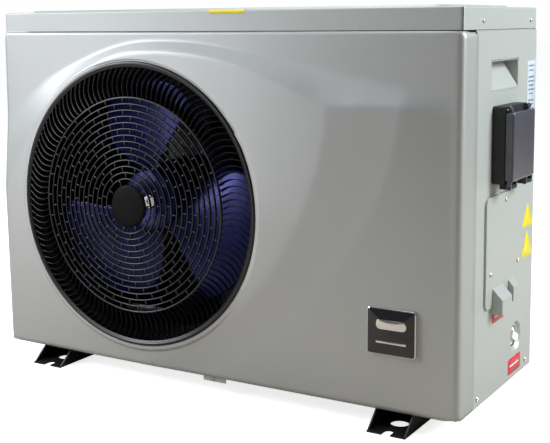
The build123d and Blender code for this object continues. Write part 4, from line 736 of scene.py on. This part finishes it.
def front_badge():
    """A dark plate in a bright rim, with one broad and one narrow plain bar in place of any mark."""
    low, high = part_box("badge")
    centre = ((low.x + high.x) / 2, (low.z + high.z) / 2)
    half_u, half_v = (high.x - low.x) / 2, (high.z - low.z) / 2
    back = high.y + 4 * MM
    outline = rounded(half_u, half_v, 5 * MM, centre)
    rim = plate("badge_rim", outline, back - low.y - 0.6 * MM, FRONT_PLANE, (0, back, 0), badge_bright_chrome,
                0.8)
    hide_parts("badge")
    outline = rounded(half_u - 1.8 * MM, half_v - 1.8 * MM, 3.6 * MM, centre)
    plate("badge_plate", outline, 0.5 * MM, FRONT_PLANE, (0, low.y + 0.6 * MM, 0), badge_dark_lacquer,
          0.2)
    bar_base = (0, low.y + 0.15 * MM, 0)
    outline = rounded(half_u * 0.62, half_v * 0.2, half_v * 0.19, (centre[0], centre[1] + half_v * 0.3))
    plate("badge_broad_bar", outline, 0.5 * MM, FRONT_PLANE, bar_base, badge_bright_chrome,
          0.6)
    outline = rounded(half_u * 0.62, half_v * 0.05, half_v * 0.045, (centre[0], centre[1] - half_v * 0.45), 4)
    plate("badge_narrow_bar", outline, 0.4 * MM, FRONT_PLANE, bar_base, badge_bright_chrome,
          0.3)


front_badge()


def lid_film():
    """A blank yellow film that lies on the lid and bends down over its front edge.

    Its section is a flat run, a quarter circle 2.5 mm in radius and a short drop. An outer copy of that line
    and an inner one, 0.4 mm apart, are closed into a loop and swept along X.
    """
    quarter = np.linspace(0, np.pi / 2, 7)
    bend, film = 2.5 * MM, 0.3 * MM
    loop = []
    for lift, order in ((film, 1), (-0.1 * MM, -1)):
        curve_y = FRONT + bend - (bend + lift) * np.sin(quarter)
        curve_z = CASING_TOP - bend + (bend + lift) * np.cos(quarter)
        loop += [(FRONT + 24 * MM, CASING_TOP + lift), *zip(curve_y, curve_z),
                 (FRONT - lift, CASING_TOP - 6 * MM)][::order]
    x = np.linspace(9.3, 76.7, 9) * MM
    section = np.array(loop)
    points = np.stack([np.broadcast_to(x[:, None], (len(x), len(section))),
                       np.broadcast_to(section[:, 0], (len(x), len(section))),
                       np.broadcast_to(section[:, 1], (len(x), len(section)))], -1)
    surface("lid_yellow_film", points.reshape(-1, 3), quads_of_grid(len(x), len(section), False, True),
            label_yellow_film, "cabinet")


lid_film()


# ------------------------------------------------------------------ floor, light and camera
def studio():
    """A pale floor that runs off into white, a dim room that is bright overhead, and four soft lights.

    The room's brightness is a base value plus an eased rise towards straight up and towards the left.
    """
    floor_points = [(-30, -30, -0.0005), (30, -30, -0.0005), (30, 30, -0.0005), (-30, 30, -0.0005)]
    mesh = bpy.data.meshes.new("studio_floor")
    mesh.from_pydata(floor_points, [], [(0, 1, 2, 3)])
    mesh.update()
    floor = bpy.data.objects.new("studio_floor", mesh)
    bpy.context.scene.collection.objects.link(floor)
    paper = begin("floor_white_paper")
    bright = put(paper, "ShaderNodeBsdfPrincipled",
                 {"Base Color": colour("#f4f4f4"), "Roughness": 1.0, "Emission Color": colour("#ffffff"),
                  "Emission Strength": 0.78})
    dim = put(paper, "ShaderNodeBsdfDiffuse", {"Color": colour("#b4a899")})
    camera_ray = put(paper, "ShaderNodeLightPath").outputs["Is Camera Ray"]
    either = put(paper, "ShaderNodeMixShader",
                 {"Fac": camera_ray, 1: dim.outputs["BSDF"], 2: bright.outputs["BSDF"]})
    put(paper, "ShaderNodeOutputMaterial", {"Surface": either.outputs["Shader"]})
    mesh.materials.append(paper)

    room = bpy.data.worlds.new("studio_room")
    room.use_nodes = True
    room.node_tree.nodes.clear()
    way = put(room, "ShaderNodeSeparateXYZ", {"Vector": put(room, "ShaderNodeTexCoord").outputs["Generated"]})
    above = put(room, "ShaderNodeMapRange",
                {"Value": way.outputs["Z"], "From Min": 0.2, "From Max": 0.95, "To Min": 0.0, "To Max": 0.12},
                interpolation_type="SMOOTHSTEP")
    leftward = put(room, "ShaderNodeMapRange",
                   {"Value": way.outputs["X"], "From Min": -0.60, "From Max": -0.98, "To Min": 0.15,
                    "To Max": 0.22}, interpolation_type="SMOOTHSTEP")
    glow = put(room, "ShaderNodeMath", {0: above.outputs["Result"], 1: leftward.outputs["Result"]},
               operation="ADD")
    lit = put(room, "ShaderNodeBackground", {"Color": colour("#f3f7ff"), "Strength": glow.outputs["Value"]})
    plain = put(room, "ShaderNodeBackground", {"Color": colour("#ffffff"), "Strength": 1.0})
    seen = put(room, "ShaderNodeLightPath").outputs["Is Camera Ray"]
    both = put(room, "ShaderNodeMixShader",
               {"Fac": seen, 1: lit.outputs["Background"], 2: plain.outputs["Background"]})
    put(room, "ShaderNodeOutputWorld", {"Surface": both.outputs["Shader"]})
    bpy.context.scene.world = room

    def soft_light(name, place, target, size, power, tint):
        lamp = bpy.data.lights.new(name, "AREA")
        lamp.shape, lamp.size, lamp.size_y, lamp.energy = "RECTANGLE", size[0], size[1], power
        lamp.color = colour(tint)[:3]
        holder = bpy.data.objects.new(name, lamp)
        bpy.context.scene.collection.objects.link(holder)
        away = np.array(place, float) - np.array(target, float)
        away /= np.linalg.norm(away)
        right = np.cross((0, 0, 1), away)
        right /= np.linalg.norm(right)
        up = np.cross(away, right)
        turn = Matrix(np.stack([right, up, away], -1).tolist())
        holder.matrix_world = Matrix.Translation(place) @ turn.to_4x4()

    soft_light("left_softbox", (-1.5, -1.1, 1.35), (-0.3, -0.17, 0.5), (1.1, 1.1), 33, "#f0f5ff")
    soft_light("near_softbox", (-0.7, -0.9, 0.4), (-0.2, -0.17, 0.25), (0.6, 0.6), 2.9, "#f4f7ff")
    soft_light("top_softbox", (-0.2, -0.2, 2.4), (0, 0, 0.5), (2.0, 0.9), 28, "#f2f6ff")
    soft_light("right_softbox", (2.4, 0.75, 1.6), (0.45, 0.1, 0.45), (1.2, 1.2), 96, "#f2fbff")


studio()


def camera():
    """A long lens from the right front, 1.7 m ahead of the middle and nearly as high as the lid."""
    azimuth, elevation, roll = (math.radians(a) for a in (31.73, 6.64, -0.49))
    back = np.array([math.sin(azimuth) * math.cos(elevation), -math.cos(azimuth) * math.cos(elevation),
                     math.sin(elevation)])
    right = np.cross(-back, (0, 0, 1))
    right /= np.linalg.norm(right)
    up = np.cross(right, -back)
    tilted_right = math.cos(roll) * right + math.sin(roll) * up
    tilted_up = -math.sin(roll) * right + math.cos(roll) * up
    data = bpy.data.cameras.new("front_view")
    data.lens, data.sensor_width = 71.56, 36
    data.shift_x, data.shift_y = 0.0389, -0.1307
    holder = bpy.data.objects.new("front_view", data)
    bpy.context.scene.collection.objects.link(holder)
    rotation = Matrix(np.stack([tilted_right, tilted_up, back], -1).tolist())
    holder.matrix_world = Matrix.Translation((1.0138, -1.6598, 0.6244)) @ rotation.to_4x4()
    bpy.context.scene.camera = holder
    bpy.context.scene.view_settings.view_transform = "Standard"


camera()
